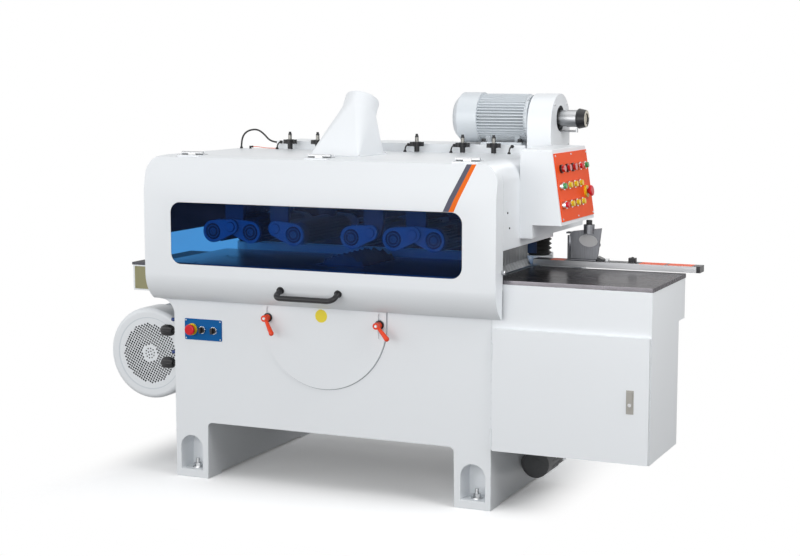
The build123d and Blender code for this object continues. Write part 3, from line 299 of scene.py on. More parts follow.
def weldedSolids(node):
    # a weldment's solids follow one another, and each ends where its last open edge closes
    mesh = nodes[node].data
    solids, faces, loose = [], [], set()
    for polygon in mesh.polygons:
        ring = [tuple(round(part, 6) for part in mesh.vertices[index].co) for index in polygon.vertices]
        faces.append(ring)
        for pair in zip(ring, ring[1:] + ring[:1]):
            loose ^= {frozenset(pair)}
        if not loose:
            solids.append(faces)
            faces = []
    return solids


def weldment(node, width, above):
    # each plate is rounded by itself, away from the seams where it meets another
    solids = weldedSolids(node)
    trees = []
    for faces in solids:
        spots = [spot for ring in faces for spot in ring]
        starts = [3 * at for at in range(len(faces))]
        trees.append(BVHTree.FromPolygons(spots, [(at, at + 1, at + 2) for at in starts]))
    whole = bmesh.new()
    for faces in solids:
        plate = bmesh.new()
        for ring in faces:
            plate.faces.new([plate.verts.new(spot) for spot in ring])
        tidyFaces(plate)
        softEdges(plate, width, where=lambda p: p.z > above and sum(
            tree.find_nearest(p, rounding["seam"])[0] is not None for tree in trees) < 2)
        joinShape(whole, plate)
    return whole


def foldedSpots(bm):
    # corners of the triangles that face against their polygon
    spots = []
    for corners in bm.calc_loop_triangles():
        face = corners[0].face
        a, b, c = [loop.vert.co for loop in corners]
        if len(face.verts) > 3 and (b - a).cross(c - a).dot(face.normal) < -rounding["fold"]:
            spots += [a.copy(), b.copy(), c.copy()]
    return spots


def roundEdges(bm, picked, width, segments):
    worn = bm.loops.layers.float.get("wear") or bm.loops.layers.float.new("wear")
    made = bmesh.ops.bevel(bm, geom=picked, offset=width, offset_type="OFFSET", segments=segments, profile=0.5,
                           affect="EDGES", clamp_overlap=False, material=-1)
    for face in made["faces"]:
        for loop in face.loops:
            loop[worn] = 1.0


def softEdges(bm, width, segments=2, where=None):
    picked = []
    for edge in bm.edges:
        if len(edge.link_faces) != 2 or not edge.is_convex or edge.calc_length() < rounding["shortest"] * width:
            continue
        if edge.calc_face_angle() < radians(rounding["steep"]):
            continue
        if where and not where((edge.verts[0].co + edge.verts[1].co) / 2):
            continue
        picked.append(edge)
    # edges whose rounding would fold a face are left sharp
    bm.edges.index_update()
    before = len(foldedSpots(bm))
    for reach in rounding["reaches"]:
        trial = bm.copy()
        trial.edges.ensure_lookup_table()
        roundEdges(trial, [trial.edges[edge.index] for edge in picked], width, segments)
        spots = foldedSpots(trial)
        trial.free()
        if len(spots) <= before:
            break
        near = KDTree(len(spots))
        for index, spot in enumerate(spots):
            near.insert(spot, index)
        near.balance()
        picked = [edge for edge in picked if min(near.find(vert.co)[2] for vert in edge.verts) > reach * width]
    roundEdges(bm, picked, width, segments)


def putPiece(name, bm, finishes, body, stands=(), sharp=32, weighted=False):
    mesh = bpy.data.meshes.new(name)
    bm.to_mesh(mesh)
    bm.free()
    for finish in finishes:
        mesh.materials.append(looks[finish])
    mesh.shade_smooth()
    mesh.set_sharp_from_angle(angle=radians(sharp))
    piece = bpy.data.objects.new(name, mesh)
    bpy.context.scene.collection.objects.link(piece)
    if weighted:
        piece.modifiers.new("evenNormals", "WEIGHTED_NORMAL").keep_sharp = True
    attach(piece, body)
    if stands:
        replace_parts(piece, *stands)
    return piece


def plainName(node):
    first, *rest = node.split("_")
    return first + "".join(word.capitalize() for word in rest)


def dress(node, finish, width=0.0, parts=(), sharp=32, bm=None):
    bm = bm or mergedCopy(node)
    if width:
        softEdges(bm, width)
    for face in bm.faces:
        middle = face.calc_center_median()
        for index, (test, other) in enumerate(parts):
            if test(middle, face.normal):
                face.material_index = index + 1
    finishes = [finish] + [other for test, other in parts]
    return putPiece(plainName(node), bm, finishes, bodyOf[node], (node,), sharp, True)


# node: finish and edge radius in metres
plainNodes = {
    "infeed_cabinet": ("white", 0.0015), "arbor_cover": ("white", 0.0015), "variator_guard": ("white", 0.0012),
    "belt_guard": ("white", 0.002), "lift_motor": ("darkCast", 0.0), "bed_plates": ("bedSteel", 0.0006),
    "infeed_table": ("tableSteel", 0.001),
    "saw_arbor": ("toolSteel", 0.0), "saw_blades": ("bladeSteelShaded", 0.0), "lift_columns": ("chrome", 0.0),
    "kickback_fingers": ("fingerSteel", 0.0008), "motor_pulley": ("cast", 0.0), "variator_sheave": ("toolSteel", 0.0),
    "fence_bracket": ("bracketSteel", 0.0012), "arbor_bearings": ("cast", 0.0),
    "roller_hangers": ("hangerShade", 0.001), "feed_gearbox": ("cast", 0.0015), "hood_handle": ("black", 0.0),
    "selector_left": ("black", 0.0006), "selector_right": ("black", 0.0006), "fence_clamp": ("black", 0.0006),
    "drive_belts": ("rubber", 0.0), "column_bellows": ("rubber", 0.0), "hood_window": ("pane", 0.0),
    "station_stop": ("red", 0.0), "panel_stop": ("red", 0.0), "speed_sleeve": ("aluminium", 0.0008),
}
for node, (finish, width) in plainNodes.items():
    dress(node, finish, width)
for index in range(1, 7):
    dress("swing_arm_%d" % index, "armPaint", 0.001)
    dress("feed_roller_%d" % index, "rollerSteel", 0.0)

# welded frames: rounded edges stop at the seams; the head's inward faces are painted near-black as painted shade
headInside = {"x": (-0.711, 0.676), "y": (-0.4322, 0.098), "z": (0.93, 1.2215),
              "middle": Vector((-0.0175, -0.167, 1.07))}


def isHeadInside(point, normal):
    spans = ((point.x, headInside["x"]), (point.y, headInside["y"]), (point.z, headInside["z"]))
    inward = (headInside["middle"] - point).dot(normal) > 0
    return inward and all(low < value < high for value, (low, high) in spans)


# leaves and barrels that stand on the roof
hinges = {"x": (-0.545, -0.020, 0.550), "half": 0.047, "y": (-0.475, -0.395), "roof": 1.2262}


def isHinge(point, normal):
    low, high = hinges["y"]
    near = min(abs(point.x - x) for x in hinges["x"]) < hinges["half"]
    return near and point.z > hinges["roof"] and low < point.y < high


floorLine = 0.004
dress("base_frame", "white", bm=weldment("base_frame", 0.003, floorLine))
dress("head_housing", "white", parts=[(isHeadInside, "inside"), (isHinge, "hingeSteel")],
      bm=weldment("head_housing", 0.002, floorLine))
dress("hood_shell", "white", 0.0012, [(isHinge, "hingeSteel")])

# motors: painted shade behind the grille, on the fan cover's step ring and between the ribs
fanCover = {"axis": (-0.845, 0.435), "front": -0.2819, "edge": -0.250, "step": (0.1385, 0.1435),
            "lip": -0.2851, "motorEnd": -0.1935}
feedRibs = {"axis": (0.218, 1.357), "core": 0.0805, "x": (0.362, 0.547)}


# inward faces of the fan cover, painted black as painted shade behind the grille
def isFanInside(point, normal):
    across, up = point.x - fanCover["axis"][0], point.z - fanCover["axis"][1]
    behind = point.y > fanCover["front"] and normal.y > -0.5
    turnedIn = across * normal.x + up * normal.z < 0.2 * hypot(across, up)
    return behind and turnedIn and (point.y < fanCover["edge"] or normal.y < 0.5)


# step ring of the fan cover, in the darker motor grey as painted shade in the step
def isFanStep(point, normal):
    low, high = fanCover["step"]
    reach = hypot(point.x - fanCover["axis"][0], point.z - fanCover["axis"][1])
    return low < reach < high and fanCover["lip"] < point.y < fanCover["front"] and abs(normal.y) < 0.99


def isBetweenRibs(point, normal):
    low, high = feedRibs["x"]
    y, z = feedRibs["axis"]
    return low < point.x < high and hypot(point.y - y, point.z - z) < feedRibs["core"]


# the motor's end behind the grille is painted black as painted shade
dress("main_motor", "motor", 0.0, [(lambda p, n: p.y < fanCover["motorEnd"], "black")])
dress("motor_fan_cover", "white", 0.0, [(isFanInside, "black"), (isFanStep, "motor")])
dress("feed_motor", "motor", 0.0, [(isBetweenRibs, "motorShade")])
dress("dust_hood", "white", 0.001, sharp=20)
latch = {"plate": -0.4432, "lock": -0.4477}
dress("cabinet_door", "white", 0.0012, [(lambda p, n: p.y < latch["plate"], "latchGrey")])
dress("door_latch", "latchGrey", 0.0005, [(lambda p, n: p.y < latch["lock"], "chrome")])
print("plain nodes dressed")

# the sloping panel: u runs to the back, v up the slope, w outwards
panel = {"foot": (0.836, -0.262, 0.998), "start": 0.013, "rise": Vector((-0.039, 0, 0.265)).normalized(),
         "thick": 0.004, "face": 0.0042, "lamps": ((0.050, 0.184), (0.113, 0.184), (0.176, 0.184)),
         "lens": 0.0125, "lensFoot": 0.0125, "bezel": 0.0155, "lampClear": 0.018,
         "stop": ((0.303, 0.089),), "stopRing": 0.0225, "stopClear": 0.025, "button": 0.012,
         "red": ((0.238, 0.184), (0.024, 0.058)), "green": ((0.300, 0.184), (0.024, 0.124))}
panelOut = Vector((panel["rise"].z, 0, -panel["rise"].x))
panelZero = Vector(panel["foot"]) + panel["rise"] * panel["start"]


def onPanel(point):
    offset = point - panelZero
    return offset.y, offset.dot(panel["rise"]), offset.dot(panelOut)


def fromPanel(u, v, w):
    return panelZero + Vector((0, u, 0)) + panel["rise"] * v + panelOut * w


def nearSpot(point, spots, reach):
    u, v, w = onPanel(point)
    return any((u - a) ** 2 + (v - b) ** 2 < reach ** 2 for a, b in spots)


def isLens(point, normal):
    return nearSpot(point, panel["lamps"], panel["lens"]) and onPanel(point)[2] > panel["lensFoot"]


def isBezel(point, normal):
    w = onPanel(point)[2]
    return nearSpot(point, panel["lamps"], panel["bezel"]) and panel["face"] < w <= panel["lensFoot"]


def isStopRing(point, normal):
    return nearSpot(point, panel["stop"], panel["stopRing"]) and onPanel(point)[2] > panel["face"]


def isCollar(point, normal):
    besideLamps = not nearSpot(point, panel["lamps"], panel["lampClear"])
    besideStop = not nearSpot(point, panel["stop"], panel["stopClear"])
    return besideLamps and besideStop and onPanel(point)[2] > panel["face"]


dress("control_panel", "orange", 0.0006, [(isBezel, "glossBlack"), (isLens, "lampRed"), (isStopRing, "yellow"),
                                          (isCollar, "chrome")])
dress("push_buttons", "yellow", 0.0008, [(lambda p, n: nearSpot(p, panel["red"], panel["button"]), "red"),
                                         (lambda p, n: nearSpot(p, panel["green"], panel["button"]), "green")])

# the box behind the panel has a wide rounding on its upper end edges
boxCrown = {"above": 1.262, "front": -0.268, "back": 0.111, "radius": 0.009, "segments": 5}
bm = mergedCopy("control_box")
softEdges(bm, boxCrown["radius"], boxCrown["segments"], where=lambda p: p.z > boxCrown["above"] and (
    p.y < boxCrown["front"] or p.y > boxCrown["back"]))
dress("control_box", "white", 0.0012, bm=bm)


def cutAcross(bm, place, normal):
    everything = bm.verts[:] + bm.edges[:] + bm.faces[:]
    bmesh.ops.bisect_plane(bm, geom=everything, plane_co=place, plane_no=normal)


# steel bosses under the star knobs, black caps on the screws
knobBoss = {"foot": 1.2665, "cap": 1.2835}
bm = mergedCopy("star_knobs")
cutAcross(bm, (0, 0, knobBoss["cap"]), (0, 0, 1))
dress("star_knobs", "black", 0.0006, [(lambda p, n: knobBoss["foot"] < p.z < knobBoss["cap"], "bossSteel")], bm=bm)
screwCap = 1.285
bm = mergedCopy("pressure_screws")
cutAcross(bm, (0, 0, screwCap), (0, 0, 1))
dress("pressure_screws", "zinc", 0.0, [(lambda p, n: p.z > screwCap, "black")], bm=bm)

# table top, switches and levers in their own colours
outfeedTop = 0.8001
dress("outfeed_table", "white", 0.0010, [(lambda p, n: p.z > outfeedTop, "outfeedSteel")])
switches = {"face": -0.4332, "split": -0.533}
dress("switch_plate", "plateBlue", 0.0005, [
    (lambda p, n: p.y < switches["face"] and p.x < switches["split"], "yellow"),
    (lambda p, n: p.y < switches["face"] and p.x >= switches["split"], "chrome")])
leverRoot = -0.4435
for side in ("left", "right"):
    dress("clamp_lever_" + side, "leverOrange", 0.0, [(lambda p, n: p.y > leverRoot, "black")])
wheelInsert = {"face": 0.7635, "radius": 0.0205}


def isInsert(point, normal):
    y, z = feedRibs["axis"]
    inside = (point.y - y) ** 2 + (point.z - z) ** 2 < wheelInsert["radius"] ** 2
    return inside and point.x > wheelInsert["face"] and normal.x > 0.5


dress("speed_handwheel", "black", 0.0006, [(isInsert, "ivory")])

# fence: black top with orange lengths of scale, and a black end cap
fence = {"scale": ((0.701, 0.755), (1.034, 1.128), (1.136, 1.228)), "top": 0.8455, "end": 1.2575,
         "cap": ((1.2445, 1.2584), (0.0131, 0.0739), (0.8226, 0.8464)), "capCorner": 0.002, "capEdge": 0.001}
bm = mergedCopy("fence_bar")
for x in [edge for length in fence["scale"] for edge in length]:
    cutAcross(bm, (x, 0, 0), (1, 0, 0))


def isScale(point, normal):
    return point.z > fence["top"] and any(low < point.x < high for low, high in fence["scale"])


dress("fence_bar", "aluminium", 0.0006, [(lambda p, n: p.z > fence["top"] or p.x > fence["end"], "black"),
                                         (isScale, "redStrip")], bm=bm)
print("painted nodes dressed")


# small hardware shared by many places
def aimed(place, axis):
    return Matrix.Translation(Vector(place)) @ Vector(axis).to_track_quat("Z", "Y").to_matrix().to_4x4()


# shares of a screw's radius or height, and of a bolt's width across flats
screwShape = {"top": 0.80, "rim": 0.35, "wall": 0.03, "socket": 0.55}
boltShape = {"washer": 0.16, "washerFoot": 0.86, "washerTop": 0.84, "corner": 1.732, "chamfer": 0.07}


def addScrew(bm, place, axis, radius, height):
    axis = Vector(axis).normalized()
    middle = Vector(place) + axis * height / 2
    verts = bmesh.ops.create_cone(bm, cap_ends=True, segments=14, radius1=radius, radius2=radius * screwShape["top"],
                                  depth=height, matrix=aimed(middle, axis))["verts"]
    faces = {face for vert in verts for face in vert.link_faces}
    top = max(faces, key=lambda face: face.calc_center_median().dot(axis))
    bmesh.ops.inset_region(bm, faces=[top], thickness=radius * screwShape["rim"])
    bmesh.ops.inset_region(bm, faces=[top], thickness=radius * screwShape["wall"],
                           depth=-height * screwShape["socket"])


def addHexBolt(bm, place, axis, across, height):
    axis = Vector(axis).normalized()
    washer = across * boltShape["washer"]
    bmesh.ops.create_cone(bm, cap_ends=True, segments=20, radius1=across * boltShape["washerFoot"],
                          radius2=across * boltShape["washerTop"], depth=washer,
                          matrix=aimed(Vector(place) + axis * washer / 2, axis))
    radius = across / boltShape["corner"]
    head = bmesh.ops.create_cone(bm, cap_ends=True, segments=6, radius1=radius, radius2=radius, depth=height,
                                 matrix=aimed(Vector(place) + axis * (washer + height / 2), axis))
    faces = {face for vert in head["verts"] for face in vert.link_faces}
    top = max(faces, key=lambda face: face.calc_center_median().dot(axis))
    bmesh.ops.bevel(bm, geom=list(top.edges), offset=across * boltShape["chamfer"], segments=1, profile=0.5,
                    affect="EDGES", material=-1)


def openEdges(bm):
    return [edge for edge in bm.edges if edge.is_boundary]


def turned(profile, steps):
    # spun about Z from pairs of height and radius
    shape = bmesh.new()
    line = [shape.verts.new((radius, 0, along)) for along, radius in profile]
    edges = [shape.edges.new(pair) for pair in zip(line[:-1], line[1:])]
    bmesh.ops.spin(shape, geom=line + edges, cent=(0, 0, 0), axis=(0, 0, 1), angle=2 * pi, steps=steps,
                   use_merge=True)
    bmesh.ops.remove_doubles(shape, verts=shape.verts, dist=0.00001)
    bmesh.ops.holes_fill(shape, edges=openEdges(shape))
    bmesh.ops.recalc_face_normals(shape, faces=shape.faces)
    return shape


def addShape(bm, shape, place, axis):
    bmesh.ops.transform(shape, matrix=aimed(place, axis), verts=shape.verts)
    joinShape(bm, shape)


def around(across, along):
    # corners of a rectangle from its two spans
    (a0, a1), (b0, b1) = across, along
    return (a0, b0), (a1, b0), (a1, b1), (a0, b1)


def newVerts(made):
    return [item for item in made["geom"] if isinstance(item, bmesh.types.BMVert)]


def roundPlate(bm, corners, radius, lift):
    # a flat plate with rounded corners, then thickened along lift
    verts = [bm.verts.new(corner) for corner in corners]
    bm.faces.new(verts)
    if radius:
        bmesh.ops.bevel(bm, geom=verts, offset=radius, segments=6, profile=0.5, affect="VERTICES", material=-1)
    bm.faces.ensure_lookup_table()
    rim = bmesh.ops.extrude_face_region(bm, geom=[bm.faces[-1]])
    bmesh.ops.translate(bm, verts=newVerts(rim), vec=lift)
    bmesh.ops.recalc_face_normals(bm, faces=bm.faces)


def edgeRing(seal, rounded, openFoot=False):
    # a flat ring along the inside of an outline, some of its corners rounded
    y0, y1 = seal["y"]
    bm = bmesh.new()
    verts = [bm.verts.new((x, y0, z)) for x, z in around(seal["x"], seal["z"])]
    bm.faces.new(verts)
    bmesh.ops.bevel(bm, geom=verts[rounded], offset=seal["corner"], segments=seal["segments"], profile=0.5,
                    affect="VERTICES", material=-1)
    bmesh.ops.remove_doubles(bm, verts=bm.verts, dist=0.0001)
    bm.faces.ensure_lookup_table()
    middle = bm.faces[-1]
    bm.normal_update()
    ring = bmesh.ops.inset_region(bm, faces=[middle], thickness=seal["wide"], use_boundary=True)["faces"]
    low = [face for face in ring if openFoot and face.calc_center_median().z < seal["z"][0] + seal["wide"]]
    bmesh.ops.delete(bm, geom=[middle] + low, context="FACES")
    grown = bmesh.ops.extrude_face_region(bm, geom=[face for face in ring if face.is_valid])
    bmesh.ops.translate(bm, verts=newVerts(grown), vec=(0, y1 - y0, 0))
    bmesh.ops.recalc_face_normals(bm, faces=bm.faces)
    return bm


# stripes on the hood, over the fold and down to the window
stripes = {"crest": (-0.480, 1.2185), "fold": (-0.505, 1.099), "foot": (-0.505, 1.0555), "lift": 0.0005,
           "thick": 0.0004,
           "stripeGrey": ((0.486, 0.507), (0.5645, 0.583)), "stripeOrange": ((0.507, 0.526), (0.583, 0.599))}


def hoodStripe(finish):
    (lowLeft, lowRight), (highLeft, highRight) = stripes[finish]
    share = (stripes["fold"][1] - stripes["foot"][1]) / (stripes["crest"][1] - stripes["foot"][1])
    bm = bmesh.new()
    rows = []
    for (y, z), part in ((stripes["foot"], 0), (stripes["fold"], share), (stripes["crest"], 1)):
        left = lowLeft + (highLeft - lowLeft) * part
        right = lowRight + (highRight - lowRight) * part
        rows.append([bm.verts.new((x, y - stripes["lift"], z)) for x in (left, right)])
    for (a, b), (c, d) in zip(rows[:-1], rows[1:]):
        bm.faces.new((a, b, d, c))
    bmesh.ops.recalc_face_normals(bm, faces=bm.faces)
    bmesh.ops.solidify(bm, geom=bm.faces, thickness=stripes["thick"])
    return putPiece(finish, bm, [finish], "hood")


for finish in ("stripeGrey", "stripeOrange"):
    hoodStripe(finish)

# yellow disc on the arbor cover
disc = {"place": (-0.016, -0.4365, 0.654), "radius": 0.024, "taper": 0.985, "thick": 0.0008}
bm = bmesh.new()
middle = Vector(disc["place"]) - Vector((0, disc["thick"] / 2, 0))
bmesh.ops.create_cone(bm, cap_ends=True, segments=40, radius1=disc["radius"], radius2=disc["radius"] * disc["taper"],
                      depth=disc["thick"], matrix=aimed(middle, (0, -1, 0)))
putPiece("coverDisc", bm, ["yellowDisc"], "cover")

# dark ring round the edge of the arbor cover: a painted shadow of the gap at the cover's edge
coverSeal = {"x": (-0.2606, 0.2446), "z": (0.3824, 0.7506), "y": (-0.43005, -0.4303), "wide": 0.0026,
             "corner": 0.2526, "segments": 40}
putPiece("coverSeal", edgeRing(coverSeal, slice(0, 2)), ["motorShade"], "cover", sharp=30)

# screws: places, axis, radius, height, body and slot
screwRows = {
    "panelScrews": ([fromPanel(u, v, panel["thick"]) for u in (0.009, 0.1835, 0.358) for v in (0.009, 0.231)],
                    panelOut, 0.0035, 0.002, "head", "chrome"),
    "stationScrews": ([(x, -0.433, z) for x in (-0.586, -0.439) for z in (0.537, 0.605)], (0, -1, 0), 0.003, 0.002,
                      "base", "chrome"),
    "headScrews": ([(0.681, -0.393, 1.049), (0.681, -0.374, 0.995)], (1, 0, 0), 0.004, 0.0025, "head", "chrome"),
    "ductScrews": ([(x, y, 1.230) for x in (-0.124, -0.020, 0.084) for y in (-0.324, -0.091)], (0, 0, 1), 0.004,
                   0.003, "head", "chrome"),
    "hingeScrewsHead": ([(x + dx, -0.409, 1.229) for x in hinges["x"] for dx in (-0.030, 0, 0.030)], (0, 0, 1), 0.004,
                        0.0025, "head", "chrome"),
    "bedScrews": ([(x, y, 0.820) for x in (-0.560, 0.560) for y in (-0.400, -0.160, 0.050)], (0, 0, 1), 0.007,
                  0.0012, "base", "ground_steel"),
    "guardScrews": ([(0.667, 0.218 + dy, 1.338 + dz) for dy, dz in ((-0.095, -0.080), (0.095, -0.080),
                                                                   (-0.070, 0.070), (0.070, 0.070))],
                    (1, 0, 0), 0.0045, 0.003, "head", "chrome"),
    "leftLeverScrew": ([(-0.233, -0.4712, 0.636)], (0, -1, 0), 0.006, 0.002, bodyOf["clamp_lever_left"], "chrome"),
    "rightLeverScrew": ([(0.217, -0.4712, 0.636)], (0, -1, 0), 0.006, 0.002, bodyOf["clamp_lever_right"], "chrome"),
}
for name, (places, axis, radius, height, body, slot) in screwRows.items():
    bm = bmesh.new()
    for place in places:
        addScrew(bm, place, axis, radius, height)
    putPiece(name, bm, ["darkCast" if name == "headScrews" else "zinc"], body, sharp=30)

# floor bolts in the four feet
floorBolt = {"x": 0.572, "y": 0.385, "foot": 0.030, "across": 0.024, "head": 0.014, "stud": (0.0078, 0.0072),
             "length": 0.034, "middle": 0.047}
bm = bmesh.new()
for x in (-floorBolt["x"], floorBolt["x"]):
    for y in (-floorBolt["y"], floorBolt["y"]):
        addHexBolt(bm, (x, y, floorBolt["foot"]), (0, 0, 1), floorBolt["across"], floorBolt["head"])
        low, high = floorBolt["stud"]
        bmesh.ops.create_cone(bm, cap_ends=True, segments=16, radius1=low, radius2=high, depth=floorBolt["length"],
                              matrix=Matrix.Translation((x, y, floorBolt["middle"])))
putPiece("floorBolts", bm, ["zinc"], "base")

# clamp knobs at the outfeed end of the base
sideKnob = {"places": ((-0.400, 0.553), (-0.400, 0.428)), "wall": -0.640, "lobes": 7, "steps": 42, "neck": 0.0165,
            "depth": 0.07,
            "profile": ((0, 0.008), (0.022, 0.008), (0.024, 0.017), (0.032, 0.0205), (0.040, 0.0225), (0.062, 0.0225),
                        (0.070, 0.019), (0.074, 0.012), (0.076, 0.0))}
bm = bmesh.new()
for y, z in sideKnob["places"]:
    knob = turned(sideKnob["profile"], sideKnob["steps"])
    for vert in knob.verts:
        reach = Vector((vert.co.x, vert.co.y, 0))
        if reach.length > sideKnob["neck"]:
            vert.co -= reach * sideKnob["depth"] * (1 - cos(sideKnob["lobes"] * atan2(reach.y, reach.x)))
    addShape(bm, knob, (sideKnob["wall"], y, z), (-1, 0, 0))
putPiece("sideKnobs", bm, ["black"], "base", sharp=50)

# small blue valve caps above them
valveCap = {"places": ((-0.400, 0.597), (-0.400, 0.472)), "wall": -0.640, "stem": 0.0145, "steps": 20,
            "profile": ((0, 0.005), (0.014, 0.005), (0.0155, 0.0070), (0.020, 0.0075), (0.028, 0.0068),
                        (0.030, 0.004), (0.0305, 0.0))}
bm = bmesh.new()
for y, z in valveCap["places"]:
    addShape(bm, turned(valveCap["profile"], valveCap["steps"]), (valveCap["wall"], y, z), (-1, 0, 0))
for face in bm.faces:
    face.material_index = 1 if face.calc_center_median().x > valveCap["wall"] - valveCap["stem"] else 0
putPiece("valveCaps", bm, ["blue", "black"], "base", sharp=40)

# latch knob on the end of the hood
hoodKnob = {"place": (0.681, -0.447, 0.849), "steps": 24,
            "profile": ((0, 0.007), (0.002, 0.007), (0.0025, 0.0045), (0.006, 0.0045), (0.007, 0.0075),
                        (0.012, 0.0078), (0.014, 0.006), (0.0145, 0.0))}
bm = bmesh.new()
addShape(bm, turned(hoodKnob["profile"], hoodKnob["steps"]), hoodKnob["place"], (1, 0, 0))
putPiece("hoodKnob", bm, ["zinc"], "hood", sharp=35)

# stepped bearing caps in the swing arms' rings: recessed faces and step walls near-black as painted shade of the
# bore, the raised rings' fronts grey
bearingCap = {"profile": ((0, 0.0295), (0.0010, 0.0300), (0.0018, 0.0296), (0.0018, 0.0245), (0.0034, 0.0240),
                          (0.0034, 0.0195), (0.0016, 0.0190), (0.0016, 0.0140), (0.0038, 0.0135), (0.0038, 0.0065),
                          (0.0024, 0.0060), (0.0024, 0.0)),
              "cheeks": (-0.430, -0.414), "between": -0.42, "sunk": 0.0048, "hub": 0.0135, "ring": (0.0195, 0.024),
              "steps": 40}
front, back = bearingCap["cheeks"]
for index in range(1, 7):
    low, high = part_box("feed_roller_%d" % index)
    middle = Vector(((low.x + high.x) / 2, 0, (low.z + high.z) / 2))
    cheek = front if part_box("swing_arm_%d" % index)[0].y < bearingCap["between"] else back
    bm = bmesh.new()
    addShape(bm, turned(bearingCap["profile"], bearingCap["steps"]),
             (middle.x, cheek + bearingCap["sunk"], middle.z), (0, -1, 0))
    inner, outer = bearingCap["ring"]
    for face in bm.faces:
        spot = face.calc_center_median()
        reach = Vector((spot.x - middle.x, spot.z - middle.z)).length
        raised = reach < bearingCap["hub"] or inner < reach < outer
        face.material_index = 1 if face.normal.y < -0.5 and raised else 0
    putPiece("bearingCap%d" % index, bm, ["bearingDarkAndShade", "cast"], "roller_%d" % index, sharp=30)

# pin heads on the arms that stand in front at each hanger
pinHead = {"arms": {1: -0.392, 3: -0.205, 4: 0.175, 5: 0.340}, "height": 0.963, "cheek": -0.430, "steps": 36,
           "washer": ((0, 0.0), (0, 0.0188), (0.0008, 0.0186), (0.0008, 0.0)),
           "profile": ((0, 0.0172), (0.0030, 0.0172), (0.0040, 0.0164), (0.0044, 0.0150), (0.0044, 0.0))}
for index, x in pinHead["arms"].items():
    bm = bmesh.new()
    place = (x, pinHead["cheek"], pinHead["height"])
    addShape(bm, turned(pinHead["profile"], pinHead["steps"]), place, (0, -1, 0))
    split = len(bm.faces)
    addShape(bm, turned(pinHead["washer"], pinHead["steps"]), place, (0, -1, 0))
    for face in bm.faces[:][split:]:
        face.material_index = 1
    putPiece("pinHead%d" % index, bm, ["armPaint", "bearingDarkAndShade"], "arm_%d" % index, sharp=30)

# bare oval plate on the fence bracket, and the bits of its clamp on the bar
oval = {"place": (0.838, 0.038, 0.919), "across": (0.070, 0.044), "thick": 0.0012, "rim": 0.0024, "lean": 8,
        "slope": 0.2, "dish": 0.4, "screws": (0.027, 0.0036), "screw": (0.0026, 0.0016)}
bm = bmesh.new()
plate = bmesh.ops.create_circle(bm, cap_ends=True, segments=48, radius=0.5)["verts"]
bmesh.ops.scale(bm, verts=plate, vec=(*oval["across"], 1))
face = bm.faces[:][0]
bm.normal_update()
bmesh.ops.inset_region(bm, faces=[face], thickness=oval["rim"], use_boundary=True)
bmesh.ops.inset_region(bm, faces=[face], thickness=oval["rim"] * oval["slope"], depth=-oval["thick"] * oval["dish"])
skirt = bmesh.ops.extrude_edge_only(bm, edges=openEdges(bm))
bmesh.ops.translate(bm, verts=newVerts(skirt), vec=(0, 0, -oval["thick"]))
bmesh.ops.holes_fill(bm, edges=openEdges(bm))
bmesh.ops.recalc_face_normals(bm, faces=bm.faces)
turn = Matrix.Rotation(radians(90), 4, "X") @ Matrix.Rotation(radians(-oval["lean"]), 4, "Z")
x, y, z = oval["place"]
bmesh.ops.transform(bm, matrix=Matrix.Translation((x, y - oval["thick"], z)) @ turn, verts=bm.verts)
for side in (-1, 1):
    spot = Vector(oval["place"]) + Vector((side * oval["screws"][0], -oval["thick"], side * oval["screws"][1]))
    addScrew(bm, spot, (0, -1, 0), *oval["screw"])
putPiece("bracketPlate", bm, ["barePlate"], "fence", sharp=30)

clampBits = {"wedge": {"x": (0.8745, 0.896), "y": (0.028, 0.062), "height": 0.017, "fall": 0.45},
             "slide": {"x": (0.903, 0.915), "y": (0.034, 0.056), "height": 0.009, "fall": 0.0}}
clampFoot, clampCorner = 0.846, 0.002
for name, bit in clampBits.items():
    bm = bmesh.new()
    roundPlate(bm, [(x, y, clampFoot) for x, y in around(bit["x"], bit["y"])], clampCorner, (0, 0, bit["height"]))
    for vert in bm.verts:
        if vert.co.z > clampFoot + bit["height"] / 2:
            vert.co.z -= (vert.co.x - bit["x"][0]) * bit["fall"]
    putPiece(name + "Clamp", bm, ["darkCast" if bit["fall"] else "zinc"], "fence", sharp=30)

# stop knob that slides on the fence
fenceStop = {"place": (1.004, 0.043, 0.846), "half": (0.0135, 0.011), "height": 0.017, "corner": 0.003,
             "edge": 0.0015, "screw": (0.005, 0.003)}
bm = bmesh.new()
x, y, z = fenceStop["place"]
dx, dy = fenceStop["half"]
roundPlate(bm, [(*spot, z) for spot in around((x - dx, x + dx), (y - dy, y + dy))], fenceStop["corner"],
           (0, 0, fenceStop["height"]))
softEdges(bm, fenceStop["edge"])
addScrew(bm, (x, y, z + fenceStop["height"]), (0, 0, 1), *fenceStop["screw"])
putPiece("fenceStop", bm, ["black"], "fence", sharp=30)

# moulded cap over the end of the fence
(x0, x1), across, up = fence["cap"]
bm = bmesh.new()
roundPlate(bm, [(x0, *spot) for spot in around(across, up)], fence["capCorner"], (x1 - x0, 0, 0))
softEdges(bm, fence["capEdge"])
putPiece("fenceCap", bm, ["black"], "fence", sharp=30)

# bare plate on the front of the outfeed apron
apronPlate = {"x": (-0.823, -0.704), "z": (0.709, 0.795), "face": -0.410, "thick": 0.0012, "corner": 0.004,
              "margin": 0.006, "screw": (0.0022, 0.0012)}
bm = bmesh.new()
x0, x1 = apronPlate["x"]
z0, z1 = apronPlate["z"]
roundPlate(bm, [(x, apronPlate["face"], z) for x, z in around(apronPlate["x"], apronPlate["z"])],
           apronPlate["corner"], (0, -apronPlate["thick"], 0))
for x in (x0 + apronPlate["margin"], x1 - apronPlate["margin"]):
    for z in (z0 + apronPlate["margin"], z1 - apronPlate["margin"]):
        addScrew(bm, (x, apronPlate["face"] - apronPlate["thick"], z), (0, -1, 0), *apronPlate["screw"])
putPiece("apronPlate", bm, ["beige"], "base", sharp=30)

